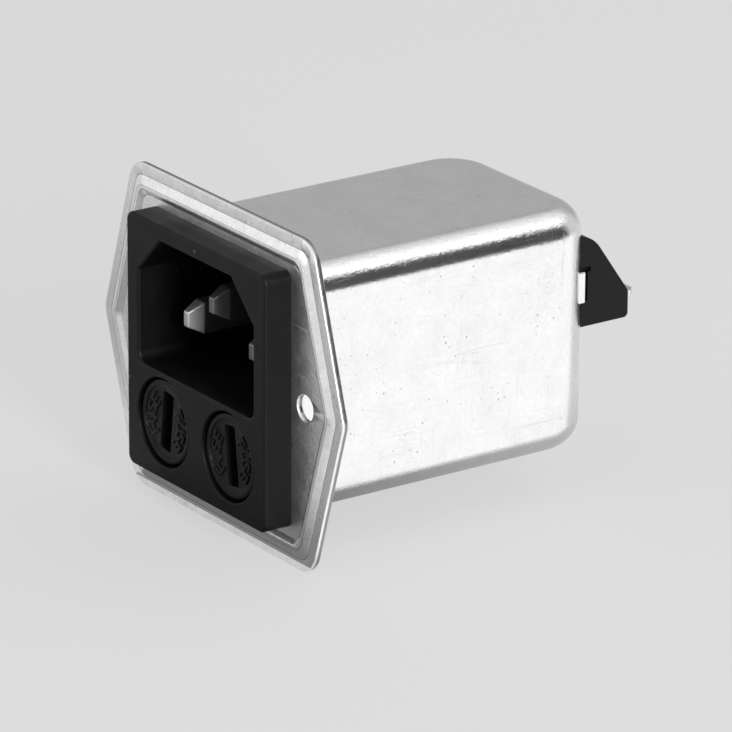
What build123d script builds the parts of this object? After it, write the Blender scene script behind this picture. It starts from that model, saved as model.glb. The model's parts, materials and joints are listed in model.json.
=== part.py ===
"""Filtered C14 power inlet with two coin-slot fuse caps, for a panel cut-out.

Millimetres. +X is to the right as seen from the front, +Y runs into the panel, +Z is up.
The origin is midway between the two mounting holes, on the flange face that meets the panel.
"""
import os
from math import cos, degrees, hypot, radians, sin

from build123d import *

# ---- panel flange: a hexagon-like plate with a raised bead and an ear each side ----
FLANGE_MARGIN_HEIGHT = 4.6
FLANGE_MARGIN_WIDTH = 4.3
FLANGE_EAR_REACH = 6.5
FLANGE_THICKNESS = 0.8
FLANGE_CORNER_RADIUS = 3.2
FLANGE_EAR_RADIUS = 2.2
MOUNT_HOLE_SPACING = 35.6
MOUNT_HOLE_RADIUS = 1.65
BEAD_HEIGHT = 0.5
BEAD_START = 1.5
BEAD_OUTER_SLOPE = 1.1
BEAD_CREST = 0.4
BEAD_INNER_SLOPE = 0.7
BEAD_CORNER_RADIUS = 2.0
BEAD_RADIUS_LOSS = 0.6
GROOVE_OUTER_INSET = 0.3
GROOVE_CREST_INSET = 0.15
GROOVE_INNER_INSET = 0.2

# ---- drawn metal can ----
CAN_WIDTH = 29.2
CAN_HEIGHT = 30.9
CAN_LENGTH = 44.9
CAN_WALL = 0.5
CAN_EDGE_RADIUS = 3.6
CAN_CORNER_RADIUS = 7.0
CAN_LIP = 1.2

# ---- moulded inlet housing ----
FACE_WIDTH = 29.8
FACE_HEIGHT = 32.2
FACE_CORNER_RADIUS = 1.2
FACE_EDGE_RADIUS = 0.35
RECESS_RIM_RADIUS = 0.35
BORE_RIM_RADIUS = 0.15
LIP_DEPTH = 3.7
BODY_CLEARANCE = 0.3
SKIRT_WALL = 1.2
SKIRT_LENGTH = 9.8
RECESS_WIDTH = 24.7
RECESS_HEIGHT = 16.5
RECESS_DEPTH = 17.0
RECESS_RISE = 5.8
RECESS_CHAMFER = 4.8
RECESS_CORNER_RADIUS = 1.3
TUB_WALL = 1.2
TUB_FLOOR = 1.5

# ---- contact pins of the inlet ----
PIN_SPACING = 14.0
PIN_HEIGHT = 4.0
PIN_WIDTH = 2.0
PIN_TIP_SETBACK = 3.3
PIN_DROP = 2.0
EARTH_PIN_RISE = 4.0
EARTH_PIN_LEAD = 1.0
PIN_TIP_TAPER = 2.1
PIN_TIP_HEIGHT = 1.9
PIN_TIP_WIDTH = 1.0
PIN_TAIL_HEIGHT = 2.4
PIN_TAIL_WIDTH = 1.0
PIN_TAIL_LENGTH = 3.0
PIN_HOLE_CLEARANCE = 0.05

# ---- fuse caps and barrels ----
FUSE_SPACING = 14.0
FUSE_DROP = 8.72
CAP_HEAD_RADIUS = 5.3
CAP_HEAD_GAP = 0.3
CAP_HEAD_DEPTH = 2.6
CAP_SINK = 0.35
CAP_EDGE_RADIUS = 0.3
CAP_DISH_RADIUS = 4.5
CAP_DISH_DEPTH = 0.2
CAP_SHANK_RADIUS = 4.3
CAP_SHANK_LENGTH = 9.0
CAP_SLOT_WIDTH = 2.15
CAP_SLOT_LENGTH = 7.5
CAP_SLOT_DEPTH = 1.6
CAP_ANGLE_LEFT = 6.5
CAP_ANGLE_RIGHT = -6.8
SHANK_FIT = 0.08
BARREL_WALL = 0.7
BARREL_END_WALL = 1.2
LUG_RISE = 0.55
LUG_WIDTH = 1.5
LUG_LENGTH = 1.6
LUG_SETBACK = 5.3
TRACK_CLEARANCE = 0.3
TRACK_PLAY = 12.0
TRACK_TURN = 90.0

# ---- glass cartridge fuse ----
FUSE_LENGTH = 20.0
FERRULE_RADIUS = 2.6
FERRULE_LENGTH = 5.5
FERRULE_WALL = 0.25
GLASS_WALL = 0.8
FUSE_WIRE_RADIUS = 0.15
CLIP_FIT = 0.1
CLIP_WALL = 0.3
CLIP_COLLAR_RADIUS = 4.15
CONTACT_GAP = 0.3

# ---- stamped contact strips ----
STRIP_THICKNESS = 0.4
STRIP_WIDTH = 3.0
STRIP_CLEARANCE = 0.2
STRIP_GROOVE_LEAD = 1.5
STRIP_SLOT_CLEARANCE = 0.05
REAR_STRIP_REACH = 1.5
SOLDER_TAIL_WIDTH = 1.0
SOLDER_STANDOUT = 0.6

# ---- filter board and its parts ----
BOARD_THICKNESS = 1.2
BOARD_SIDE_GAP = 0.55
BOARD_TOP_DROP = 1.0
BOARD_FRONT_GAP = 5.6
BOARD_REAR_GAP = 4.0
BOARD_REST_WIDTH = 3.0
BOARD_REST_GAP = 0.3
BOARD_HOLE_CLEARANCE = 0.1
CORE_OUTER_RADIUS = 7.0
CORE_INNER_RADIUS = 4.0
CORE_HEIGHT = 7.0
CORE_EDGE_RADIUS = 0.5
CHOKE_SETBACK = 9.0
CHOKE_BASE_THICKNESS = 1.2
CHOKE_BASE_RADIUS = 6.9
DIVIDER_THICKNESS = 0.8
WINDING_WIRE_RADIUS = 0.4
WINDING_TURNS = 8
WINDING_PITCH = 17.0
WINDING_GAP = 0.1
X_CAP_LENGTH = 18.0
X_CAP_DEPTH = 7.0
X_CAP_HEIGHT = 11.5
X_CAP_PITCH = 15.0
X_CAP_SETBACK = 7.5
X_CAP_STANDOFF = 0.3
X_CAP_EDGE_RADIUS = 0.6
LEAD_RADIUS = 0.35
Y_CAP_RADIUS = 3.5
Y_CAP_THICKNESS = 2.8
Y_CAP_SPACING = 21.2
Y_CAP_STANDOFF = 0.8
Y_CAP_LEAD_PITCH = 5.0
Y_CAP_SETBACK = 5.3
RESISTOR_RADIUS = 1.2
RESISTOR_LENGTH = 6.5
RESISTOR_LEAD_PITCH = 10.0
RESISTOR_SETBACK = 19.5
RESISTOR_STANDOFF = 0.3
LINER_THICKNESS = 0.25
LINER_CLEARANCE = 0.1
LINER_LENGTH = 16.6

# ---- earth path ----
EARTH_STRAP_WIDTH = 5.0
EARTH_STRAP_RUN = 8.0
RIVET_RADIUS = 1.5
RIVET_HEAD_RADIUS = 2.3
RIVET_HEAD = 0.7
BRACKET_LAP = 1.2

# ---- rear terminals ----
TAB_WIDTH = 4.8
TAB_THICKNESS = 0.8
TAB_REACH = 8.2
TAB_PITCH = 8.0
TAB_RISE = 1.75
TAB_HOLE_RADIUS = 0.7
TAB_HOLE_SETBACK = 3.2
TAB_TIP_CHAMFER = 0.9
TAB_INNER_RUN = 3.5
BLOCK_WIDTH = 24.0
BLOCK_BOTTOM = -0.5
BLOCK_HEIGHT = 11.7
BLOCK_DEPTH = 5.7
BLOCK_BASE = 1.6
BLOCK_SIDE_WALL = 1.2
BLOCK_PARTITION = 0.9
BLOCK_FLOOR = 1.1
BLOCK_REAR_HEIGHT = 3.4
BLOCK_KNEE_RADIUS = 4.4
BLOCK_CORNER_RADIUS = 0.6
BLOCK_FIT = 0.05
NECK_WIDTH = 6.6
NECK_HEIGHT = 2.8
NECK_CORNER_RADIUS = 0.6
NECK_WALL_CLEARANCE = 0.15
LANCE_HEIGHT = 4.0
LANCE_RISE = 4.8
LANCE_SETBACK = 1.3
LANCE_GAP = 0.25
LANCE_POCKET_DEPTH = 0.6
LANCE_POCKET_REACH = 0.85
LANCE_SLOT_HEIGHT = 0.65
LANCE_SLOT_REACH = 0.45

# ---- places that follow from the sizes ----
FLANGE_HALF_HEIGHT = FACE_HEIGHT / 2 + FLANGE_MARGIN_HEIGHT
FLANGE_END_HALF_WIDTH = FACE_WIDTH / 2 + FLANGE_MARGIN_WIDTH
FLANGE_EAR_HALF_WIDTH = FLANGE_END_HALF_WIDTH + FLANGE_EAR_REACH
FLANGE_FRONT = -FLANGE_THICKNESS
FACE_Y = FLANGE_FRONT - LIP_DEPTH
CAN_INNER_WIDTH = CAN_WIDTH - 2 * CAN_WALL
CAN_INNER_HEIGHT = CAN_HEIGHT - 2 * CAN_WALL
CAN_INNER_END = CAN_LENGTH - CAN_WALL
BODY_WIDTH = CAN_INNER_WIDTH - 2 * BODY_CLEARANCE
BODY_HEIGHT = CAN_INNER_HEIGHT - 2 * BODY_CLEARANCE
BODY_CORNER_RADIUS = CAN_EDGE_RADIUS - CAN_WALL
RECESS_FLOOR = FACE_Y + RECESS_DEPTH
TUB_END = RECESS_FLOOR + TUB_FLOOR
HEAD_FRONT = FACE_Y + CAP_SINK
HEAD_BACK = HEAD_FRONT + CAP_HEAD_DEPTH
SHANK_END = HEAD_BACK + CAP_SHANK_LENGTH
HEAD_BORE_RADIUS = CAP_HEAD_RADIUS + CAP_HEAD_GAP
BORE_RADIUS = CAP_SHANK_RADIUS + SHANK_FIT
TRACK_RADIUS = CAP_SHANK_RADIUS + LUG_RISE + TRACK_CLEARANCE
BARREL_RADIUS = TRACK_RADIUS + BARREL_WALL
CLIP_INNER_RADIUS = FERRULE_RADIUS + CLIP_FIT
CLIP_OUTER_RADIUS = CLIP_INNER_RADIUS + CLIP_WALL
FUSE_FRONT = HEAD_BACK + CLIP_WALL + CONTACT_GAP
FUSE_REAR = FUSE_FRONT + FUSE_LENGTH
REAR_LEAF = FUSE_REAR + CONTACT_GAP
BARREL_BORE_END = REAR_LEAF + STRIP_THICKNESS + REAR_STRIP_REACH
BARREL_END = BARREL_BORE_END + BARREL_END_WALL
LINER_INNER_WIDTH = CAN_INNER_WIDTH - 2 * (LINER_CLEARANCE + LINER_THICKNESS)
BOARD_WIDTH = LINER_INNER_WIDTH - 2 * BOARD_SIDE_GAP
BOARD_TOP = -BOARD_TOP_DROP
BOARD_BOTTOM = BOARD_TOP - BOARD_THICKNESS
BOARD_FRONT = TUB_END + BOARD_FRONT_GAP
BOARD_REAR = CAN_INNER_END - BOARD_REAR_GAP
CHOKE_Y = BOARD_REAR - CHOKE_SETBACK
CORE_BOTTOM = BOARD_TOP + CHOKE_BASE_THICKNESS + 2 * WINDING_WIRE_RADIUS + WINDING_GAP
CORE_TOP = CORE_BOTTOM + CORE_HEIGHT
TAB_TIP = CAN_LENGTH + TAB_REACH
TAB_TAIL_Y = CAN_INNER_END - TAB_INNER_RUN
RIVET_Z = TAB_RISE + RIVET_HEAD_RADIUS + TAB_THICKNESS + NECK_WALL_CLEARANCE
BLOCK_TOP = BLOCK_BOTTOM + BLOCK_HEIGHT
LINER_START = TUB_END + EARTH_STRAP_RUN + LINER_THICKNESS
SIDES = {"left": -1, "right": 1}
SOLDER_TOP = BOARD_TOP + SOLDER_STANDOUT


def front_plane(y):
    """A plane facing the front at depth y: its x is +X and its y is +Z."""
    return Plane(origin=(0, y, 0), x_dir=(1, 0, 0), z_dir=(0, -1, 0))


def slab(sketch, y_front, y_back):
    """A sketch of the front view, made solid from y_front to y_back."""
    return extrude(front_plane(y_back) * sketch, y_back - y_front)


def block(x0, x1, y0, y1, z0, z1):
    """A box between two corners."""
    centre = Pos((x0 + x1) / 2, (y0 + y1) / 2, (z0 + z1) / 2)
    return centre * Box(x1 - x0, y1 - y0, z1 - z0)


def rounded(width, height, radius):
    """A rounded rectangle."""
    return RectangleRounded(width, height, radius)


def rod(x, z, radius, y_front, y_back):
    """A round bar along Y."""
    return slab(Pos(x, z) * Circle(radius), y_front, y_back)


def post(x, y, radius, z_low, z_high):
    """A round bar along Z."""
    return Pos(x, y, z_low) * extrude(Circle(radius), z_high - z_low)


# ---- flange and can ----
def hexagon(inset, corner_radius, ear_radius):
    """The flange outline moved inward by inset, with its corners rounded."""
    half_height = FLANGE_HALF_HEIGHT - inset
    ear = FLANGE_EAR_HALF_WIDTH - inset * hypot(FLANGE_HALF_HEIGHT, FLANGE_EAR_REACH) / FLANGE_HALF_HEIGHT
    end = ear - FLANGE_EAR_REACH * half_height / FLANGE_HALF_HEIGHT
    points = [(end, half_height), (ear, 0), (end, -half_height)]
    points += [(-x, z) for x, z in reversed(points)]
    face = make_face(Polyline(*points, close=True))
    corners = [v for v in face.vertices() if abs(v.Y) >= 1]
    face = fillet(corners, corner_radius)
    ears = [v for v in face.vertices() if abs(v.Y) < 1]
    return fillet(ears, ear_radius)


def frustum(near_inset, near_y, far_inset, far_y):
    """A solid between two insets of the flange outline."""
    ear_radius = FLANGE_EAR_RADIUS - BEAD_RADIUS_LOSS
    near = hexagon(near_inset, BEAD_CORNER_RADIUS, ear_radius)
    far = hexagon(far_inset, BEAD_CORNER_RADIUS - BEAD_RADIUS_LOSS, ear_radius)
    return loft([front_plane(near_y) * near, front_plane(far_y) * far], ruled=True)


def make_flange():
    """The pressed plate: flat band, bead all round, flat field and the opening for the housing."""
    bead_top = BEAD_START + BEAD_OUTER_SLOPE
    bead_inner = bead_top + BEAD_CREST
    bead_end = bead_inner + BEAD_INNER_SLOPE
    outline = hexagon(0, FLANGE_CORNER_RADIUS, FLANGE_EAR_RADIUS)
    plate = slab(outline, FLANGE_FRONT, 0)
    front = FLANGE_FRONT - BEAD_HEIGHT
    ridge = frustum(BEAD_START, FLANGE_FRONT, bead_top, front)
    ridge -= frustum(bead_end, FLANGE_FRONT, bead_inner, front)
    groove = frustum(BEAD_START + GROOVE_OUTER_INSET, 0, bead_top + GROOVE_CREST_INSET, -BEAD_HEIGHT)
    groove -= frustum(bead_end - GROOVE_INNER_INSET, 0, bead_inner - GROOVE_INNER_INSET / 2, -BEAD_HEIGHT)
    flange = plate + ridge - groove
    opening = rounded(CAN_INNER_WIDTH, CAN_INNER_HEIGHT, BODY_CORNER_RADIUS)
    flange -= slab(opening, front, 1)
    for side in SIDES.values():
        flange -= rod(side * MOUNT_HOLE_SPACING / 2, 0, MOUNT_HOLE_RADIUS, front, 1)
    return flange


def can_form(grow, y_front):
    """The can's drawn shape from y_front back, closed at the back, enlarged by grow all round."""
    half_width = CAN_WIDTH / 2 + grow
    half_height = CAN_HEIGHT / 2 + grow
    shape = block(-half_width, half_width, y_front, CAN_LENGTH + grow, -half_height, half_height)
    corners = shape.edges().filter_by(Axis.Z).sort_by(Axis.Y)[-2:]
    shape = fillet(corners, CAN_CORNER_RADIUS + grow)
    top = shape.faces().sort_by(Axis.Z)[-1]
    bottom = shape.faces().sort_by(Axis.Z)[0]
    rims = [e for e in top.edges() + bottom.edges() if e.center().Y > y_front + 1]
    return fillet(rims, CAN_EDGE_RADIUS + grow)


def tab_places():
    """Tab name and its x, from left to right."""
    return {"line": -TAB_PITCH, "earth": 0.0, "neutral": TAB_PITCH}


def make_can():
    """The drawn can: a welded lip at the front, round edges, and openings for the terminals."""
    outline = rounded(CAN_WIDTH + 2 * CAN_LIP, CAN_HEIGHT + 2 * CAN_LIP, CAN_EDGE_RADIUS + CAN_LIP)
    can = can_form(0, 0) + slab(outline, 0, CAN_WALL) - can_form(-CAN_WALL, -1)
    for x in (-TAB_PITCH, TAB_PITCH):
        can -= neck_bar(x, NECK_WALL_CLEARANCE, CAN_INNER_END - 1, CAN_LENGTH + 1)
    can -= rod(0, RIVET_Z, RIVET_RADIUS, CAN_INNER_END - 1, CAN_LENGTH + 1)
    for side in SIDES.values():
        can += make_lance(side)
    return can


def lance_x():
    """The inner face of the tongue that stands beside the terminal block."""
    return BLOCK_WIDTH / 2 + LANCE_GAP


def make_lance(side):
    """A tongue pressed out of the can's rear corner, beside the terminal block."""
    near = side * lance_x()
    far = side * (lance_x() + CAN_WALL)
    low = LANCE_RISE - LANCE_HEIGHT / 2
    root = CAN_LENGTH - CAN_CORNER_RADIUS
    tongue = block(min(near, far), max(near, far), root, CAN_LENGTH - LANCE_SETBACK, low, low + LANCE_HEIGHT)
    tip = tongue.faces().sort_by(Axis.Y)[-1].edges().filter_by(Axis.X)
    return fillet(tip, CAN_WALL / 2) - can_form(-CAN_WALL, -1)


def neck_bar(x, clearance, y_front, y_back):
    """The rounded bar of a terminal neck, or the window for it, at x."""
    section = rounded(NECK_WIDTH + 2 * clearance, NECK_HEIGHT + 2 * clearance, NECK_CORNER_RADIUS)
    return slab(Pos(x, TAB_RISE) * section, y_front, y_back)


# ---- housing ----
def recess_outline(grow):
    """The appliance recess: chamfered corners at the top, round ones at the bottom."""
    half_width = RECESS_WIDTH / 2 + grow
    half_height = RECESS_HEIGHT / 2 + grow
    cut = RECESS_CHAMFER + grow * (2 - 2 ** 0.5)
    points = [(half_width, half_height - cut), (half_width - cut, half_height)]
    points += [(-x, z) for x, z in reversed(points)]
    points += [(-half_width, -half_height), (half_width, -half_height)]
    face = make_face(Polyline(*points, close=True))
    low = [v for v in face.vertices() if v.Y < 0]
    return Pos(0, RECESS_RISE) * fillet(low, RECESS_CORNER_RADIUS + grow)


def fuse_x(side):
    """The x of a fuse barrel's centre."""
    return side * FUSE_SPACING / 2


def cap_angle(name):
    """How far a cap's slot leans clockwise from upright, in degrees."""
    return {"left": CAP_ANGLE_LEFT, "right": CAP_ANGLE_RIGHT}[name]


def track_sector(start, sweep):
    """A sector of the lug track's circle, from a start angle through a sweep, clockwise."""
    reach = TRACK_RADIUS * 2
    steps = [start - sweep * i / 4 for i in range(5)]
    points = [(reach * cos(radians(a)), reach * sin(radians(a))) for a in steps]
    wedge = make_face(Polyline((0, 0), *points, close=True))
    return wedge & Circle(TRACK_RADIUS)


def barrel_cut(name):
    """Everything that is hollow in one fuse barrel."""
    x = fuse_x(SIDES[name])
    lug_front = HEAD_BACK + LUG_SETBACK
    half_lug = degrees(LUG_WIDTH / (2 * CAP_SHANK_RADIUS))
    cut = rod(x, -FUSE_DROP, HEAD_BORE_RADIUS, FACE_Y - 1, HEAD_BACK + CONTACT_GAP)
    cut += rod(x, -FUSE_DROP, BORE_RADIUS, HEAD_BACK, BARREL_BORE_END)
    for turn in (0, 180):
        entry = track_sector(turn + half_lug + TRACK_PLAY, 2 * (half_lug + TRACK_PLAY))
        way = track_sector(turn + half_lug + TRACK_PLAY, TRACK_TURN + 2 * (half_lug + TRACK_PLAY))
        spot = Pos(x, -FUSE_DROP)
        cut += slab(spot * entry, HEAD_BACK, lug_front + LUG_LENGTH + TRACK_CLEARANCE)
        cut += slab(spot * way, lug_front - TRACK_CLEARANCE, lug_front + LUG_LENGTH + TRACK_CLEARANCE)
    half_strip = STRIP_WIDTH / 2 + STRIP_CLEARANCE
    groove_top = -FUSE_DROP + TRACK_RADIUS
    groove_start = SHANK_END - STRIP_GROOVE_LEAD
    cut += block(x - half_strip, x + half_strip, groove_start, TUB_END, -FUSE_DROP, groove_top)
    cut += block(x - half_strip, x + half_strip, TUB_END - 0.01, TUB_END + STRIP_THICKNESS + STRIP_CLEARANCE,
                 -FUSE_DROP, -FUSE_DROP + BARREL_RADIUS + 1)
    slot_half_height = STRIP_THICKNESS / 2 + STRIP_SLOT_CLEARANCE
    cut += block(x - half_strip, x + half_strip, BARREL_BORE_END - 1, BARREL_END + 1,
                 -FUSE_DROP - slot_half_height, -FUSE_DROP + slot_half_height)
    return cut


def pin_places():
    """Pin name, its x, its height and how far its tip leads the others."""
    half = PIN_SPACING / 2
    low = RECESS_RISE - PIN_DROP
    earth = (0, low + EARTH_PIN_RISE, EARTH_PIN_LEAD)
    return {"line": (-half, low, 0), "neutral": (half, low, 0), "earth": earth}


def front_openings(shape, with_straight_edges):
    """The edges of the openings in the front face: the recess, or the two round bores."""
    front = shape.faces().sort_by(Axis.Y)[0]
    edges = []
    for wire in front.inner_wires():
        straight = len(wire.edges().filter_by(GeomType.LINE)) > 0
        if straight == with_straight_edges:
            edges += wire.edges()
    return edges


def make_housing():
    """The black moulding: face, skirt inside the can, recess tub and two fuse barrels."""
    face = slab(rounded(FACE_WIDTH, FACE_HEIGHT, FACE_CORNER_RADIUS), FACE_Y, FLANGE_FRONT)
    rim = face.faces().sort_by(Axis.Y)[0].edges()
    face = fillet(rim, FACE_EDGE_RADIUS)
    body = rounded(BODY_WIDTH, BODY_HEIGHT, BODY_CORNER_RADIUS - BODY_CLEARANCE)
    hollow_width = BODY_WIDTH - 2 * SKIRT_WALL
    hollow_height = BODY_HEIGHT - 2 * SKIRT_WALL
    hollow = rounded(hollow_width, hollow_height, BODY_CORNER_RADIUS - SKIRT_WALL)
    skirt = slab(body, FLANGE_FRONT, SKIRT_LENGTH + FLANGE_FRONT) - slab(hollow, FLANGE_FRONT, SKIRT_LENGTH)
    envelope = slab(body, FLANGE_FRONT, BARREL_END)
    inner = slab(recess_outline(TUB_WALL), FLANGE_FRONT, TUB_END)
    half_rest = BOARD_REST_WIDTH / 2
    rest_front = BOARD_FRONT + BOARD_REST_GAP
    for x in (fuse_x(-1), fuse_x(1)):
        inner += rod(x, -FUSE_DROP, BARREL_RADIUS, FLANGE_FRONT, BARREL_END)
        inner += block(x - half_rest, x + half_rest, rest_front, BARREL_END, -FUSE_DROP, BOARD_BOTTOM)
    housing = face + skirt + (inner & envelope)
    housing -= slab(recess_outline(0), FACE_Y - 1, RECESS_FLOOR)
    housing = fillet(front_openings(housing, True), RECESS_RIM_RADIUS)
    for name in SIDES:
        housing -= barrel_cut(name)
    housing = fillet(front_openings(housing, False), BORE_RIM_RADIUS)
    for x, z, _ in pin_places().values():
        hole = Rectangle(PIN_WIDTH + 2 * PIN_HOLE_CLEARANCE, PIN_HEIGHT + 2 * PIN_HOLE_CLEARANCE)
        housing -= slab(Pos(x, z) * hole, RECESS_FLOOR - 1, TUB_END + 1)
    return housing


def make_pin(x, z, lead):
    """A rectangular contact pin with a tapered tip and a thinner solder tail."""
    tip = FACE_Y + PIN_TIP_SETBACK - lead
    shoulder = tip + PIN_TIP_TAPER
    spot = Pos(x, z)
    end = front_plane(tip) * spot * Rectangle(PIN_TIP_WIDTH, PIN_TIP_HEIGHT)
    full = front_plane(shoulder) * spot * Rectangle(PIN_WIDTH, PIN_HEIGHT)
    pin = loft([end, full], ruled=True)
    pin += slab(spot * Rectangle(PIN_WIDTH, PIN_HEIGHT), shoulder, TUB_END)
    return pin + slab(spot * Rectangle(PIN_TAIL_WIDTH, PIN_TAIL_HEIGHT), TUB_END, TUB_END + PIN_TAIL_LENGTH)


# ---- fuse caps, clips and fuses ----
def fuse_spot(name, sketch):
    """A sketch moved onto a fuse barrel's centre line."""
    return Pos(fuse_x(SIDES[name]), -FUSE_DROP) * sketch


def make_cap(name):
    """A coin-slot cap: dished head, hollow shank and two bayonet lugs."""
    floor = HEAD_FRONT + CAP_DISH_DEPTH
    head = slab(Circle(CAP_HEAD_RADIUS), HEAD_FRONT, HEAD_BACK)
    head = fillet(head.edges().sort_by(Axis.Y)[0], CAP_EDGE_RADIUS)
    head -= slab(Circle(CAP_DISH_RADIUS), HEAD_FRONT, floor)
    shank = slab(Circle(CAP_SHANK_RADIUS), HEAD_BACK, SHANK_END)
    lug_front = HEAD_BACK + LUG_SETBACK
    reach = CAP_SHANK_RADIUS + LUG_RISE
    lugs = Rectangle(2 * reach, LUG_WIDTH) & Circle(reach)
    cap = head + shank + slab(lugs, lug_front, lug_front + LUG_LENGTH)
    cap -= slab(Circle(CLIP_OUTER_RADIUS), HEAD_BACK, SHANK_END)
    cap -= slab(Rectangle(CAP_SLOT_WIDTH, CAP_SLOT_LENGTH), floor, floor + CAP_SLOT_DEPTH)
    turned = Rot(0, cap_angle(name), 0) * cap
    return Pos(fuse_x(SIDES[name]), 0, -FUSE_DROP) * turned


def make_clip(name):
    """The sprung sleeve in the cap that grips the fuse's front ferrule, with its contact collar."""
    collar_end = SHANK_END + STRIP_THICKNESS
    clip = slab(fuse_spot(name, Circle(CLIP_OUTER_RADIUS)), HEAD_BACK, collar_end)
    clip += slab(fuse_spot(name, Circle(CLIP_COLLAR_RADIUS)), SHANK_END, collar_end)
    return clip - slab(fuse_spot(name, Circle(CLIP_INNER_RADIUS)), HEAD_BACK + CLIP_WALL, collar_end)


def make_glass(name):
    """The fuse's glass tube."""
    outer = FERRULE_RADIUS - FERRULE_WALL
    ring = Circle(outer) - Circle(outer - GLASS_WALL)
    return slab(fuse_spot(name, ring), FUSE_FRONT + FERRULE_WALL, FUSE_REAR - FERRULE_WALL)


def make_ferrule(name, closed_end, open_end):
    """A metal cup on one end of the fuse."""
    low, high = sorted((closed_end, open_end))
    cup = slab(fuse_spot(name, Circle(FERRULE_RADIUS)), low, high)
    inset = FERRULE_WALL if closed_end < open_end else -FERRULE_WALL
    low, high = sorted((closed_end + inset, open_end))
    return cup - slab(fuse_spot(name, Circle(FERRULE_RADIUS - FERRULE_WALL)), low, high)


def make_fuse_wire(name):
    """The fuse element along the tube, from ferrule to ferrule."""
    section = fuse_spot(name, Circle(FUSE_WIRE_RADIUS))
    return slab(section, FUSE_FRONT + FERRULE_WALL, FUSE_REAR - FERRULE_WALL)


# ---- stamped contacts ----
def make_side_contact(name, pin_x, pin_z):
    """The strip from an inlet pin's tail into the barrel's groove, beside the cap's collar."""
    x = fuse_x(SIDES[name])
    half = STRIP_WIDTH / 2
    low_x, high_x = min(x, pin_x) - half, max(x, pin_x) + half
    finger_top = -FUSE_DROP + TRACK_RADIUS - STRIP_CLEARANCE
    finger_low = finger_top - STRIP_THICKNESS
    strip_back = TUB_END + STRIP_THICKNESS
    contact = block(low_x, high_x, TUB_END, strip_back, finger_low, pin_z + PIN_TAIL_HEIGHT)
    contact += block(x - half, x + half, SHANK_END, strip_back, finger_low, finger_top)
    return contact - tail_hole(pin_x, pin_z)


def tail_hole(x, z):
    """The hole that a pin's tail passes through in a strip."""
    half_width = PIN_TAIL_WIDTH / 2 + PIN_HOLE_CLEARANCE
    half_height = PIN_TAIL_HEIGHT / 2 + PIN_HOLE_CLEARANCE
    return block(x - half_width, x + half_width, TUB_END - 1, TUB_END + 1, z - half_height, z + half_height)


def rear_tail_y():
    """The front of the upright tail behind a fuse barrel."""
    return BARREL_END + REAR_STRIP_REACH


def make_rear_contact(name):
    """The leaf behind the fuse, its strip through the barrel's end and its tail up to the board."""
    x = fuse_x(SIDES[name])
    half = STRIP_WIDTH / 2
    half_thick = STRIP_THICKNESS / 2
    tail = rear_tail_y()
    leaf = slab(fuse_spot(name, Circle(FERRULE_RADIUS - CLIP_WALL)), REAR_LEAF, REAR_LEAF + STRIP_THICKNESS)
    strip = block(x - half, x + half, REAR_LEAF, tail + STRIP_THICKNESS, -FUSE_DROP - half_thick,
                  -FUSE_DROP + half_thick)
    rise = block(x - half, x + half, tail, tail + STRIP_THICKNESS, -FUSE_DROP - half_thick,
                 BOARD_BOTTOM - STRIP_CLEARANCE)
    half_pin = SOLDER_TAIL_WIDTH / 2
    pin = block(x - half_pin, x + half_pin, tail, tail + STRIP_THICKNESS, -FUSE_DROP, SOLDER_TOP)
    return leaf + strip + rise + pin


# ---- filter board ----
def choke_angles(side):
    """The angle of each turn of one winding about the choke's axis."""
    middle = 0 if side > 0 else 180
    return [middle + WINDING_PITCH * (i - (WINDING_TURNS - 1) / 2) for i in range(WINDING_TURNS)]


def lead_radius_on_choke():
    """How far a winding's outer leg stands from the choke's axis."""
    return CORE_OUTER_RADIUS + WINDING_GAP + WINDING_WIRE_RADIUS


def choke_lead_spots(side):
    """Where a winding's first and last legs go down into the board."""
    reach = lead_radius_on_choke()
    ends = [choke_angles(side)[0], choke_angles(side)[-1]]
    return [(reach * cos(radians(a)), CHOKE_Y + reach * sin(radians(a))) for a in ends]


def round_lead_spots():
    """Every round lead's place on the board, with its radius."""
    x_y = BOARD_REAR - X_CAP_SETBACK
    y_y = BOARD_REAR - Y_CAP_SETBACK
    r_y = BOARD_REAR - RESISTOR_SETBACK
    spots = []
    for side in SIDES.values():
        spots.append((side * X_CAP_PITCH / 2, x_y, LEAD_RADIUS))
        spots.append((side * RESISTOR_LEAD_PITCH / 2, r_y, LEAD_RADIUS))
        y_x = side * Y_CAP_SPACING / 2
        spots += [(y_x, y_y + end * Y_CAP_LEAD_PITCH / 2, LEAD_RADIUS) for end in (-1, 1)]
        spots += [(x, y, LEAD_RADIUS) for x, y in choke_lead_spots(side)]
    return spots


def make_board():
    """The filter board with a hole for each lead and tail."""
    half = BOARD_WIDTH / 2
    board = block(-half, half, BOARD_FRONT, BOARD_REAR, BOARD_BOTTOM, BOARD_TOP)
    for x, y, radius in round_lead_spots():
        board -= post(x, y, radius + BOARD_HOLE_CLEARANCE, BOARD_BOTTOM - 1, BOARD_TOP + 1)
    half_tail = SOLDER_TAIL_WIDTH / 2 + BOARD_HOLE_CLEARANCE
    slots = [(side * FUSE_SPACING / 2, rear_tail_y(), STRIP_THICKNESS) for side in SIDES.values()]
    slots += [(side * TAB_PITCH, TAB_TAIL_Y, TAB_THICKNESS) for side in SIDES.values()]
    for x, y, thickness in slots:
        front = y - BOARD_HOLE_CLEARANCE
        back = y + thickness + BOARD_HOLE_CLEARANCE
        board -= block(x - half_tail, x + half_tail, front, back, BOARD_BOTTOM - 1, BOARD_TOP + 1)
    return board


def make_choke_base():
    """The plastic disc that the choke stands on."""
    return post(0, CHOKE_Y, CHOKE_BASE_RADIUS, BOARD_TOP, BOARD_TOP + CHOKE_BASE_THICKNESS)


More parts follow.
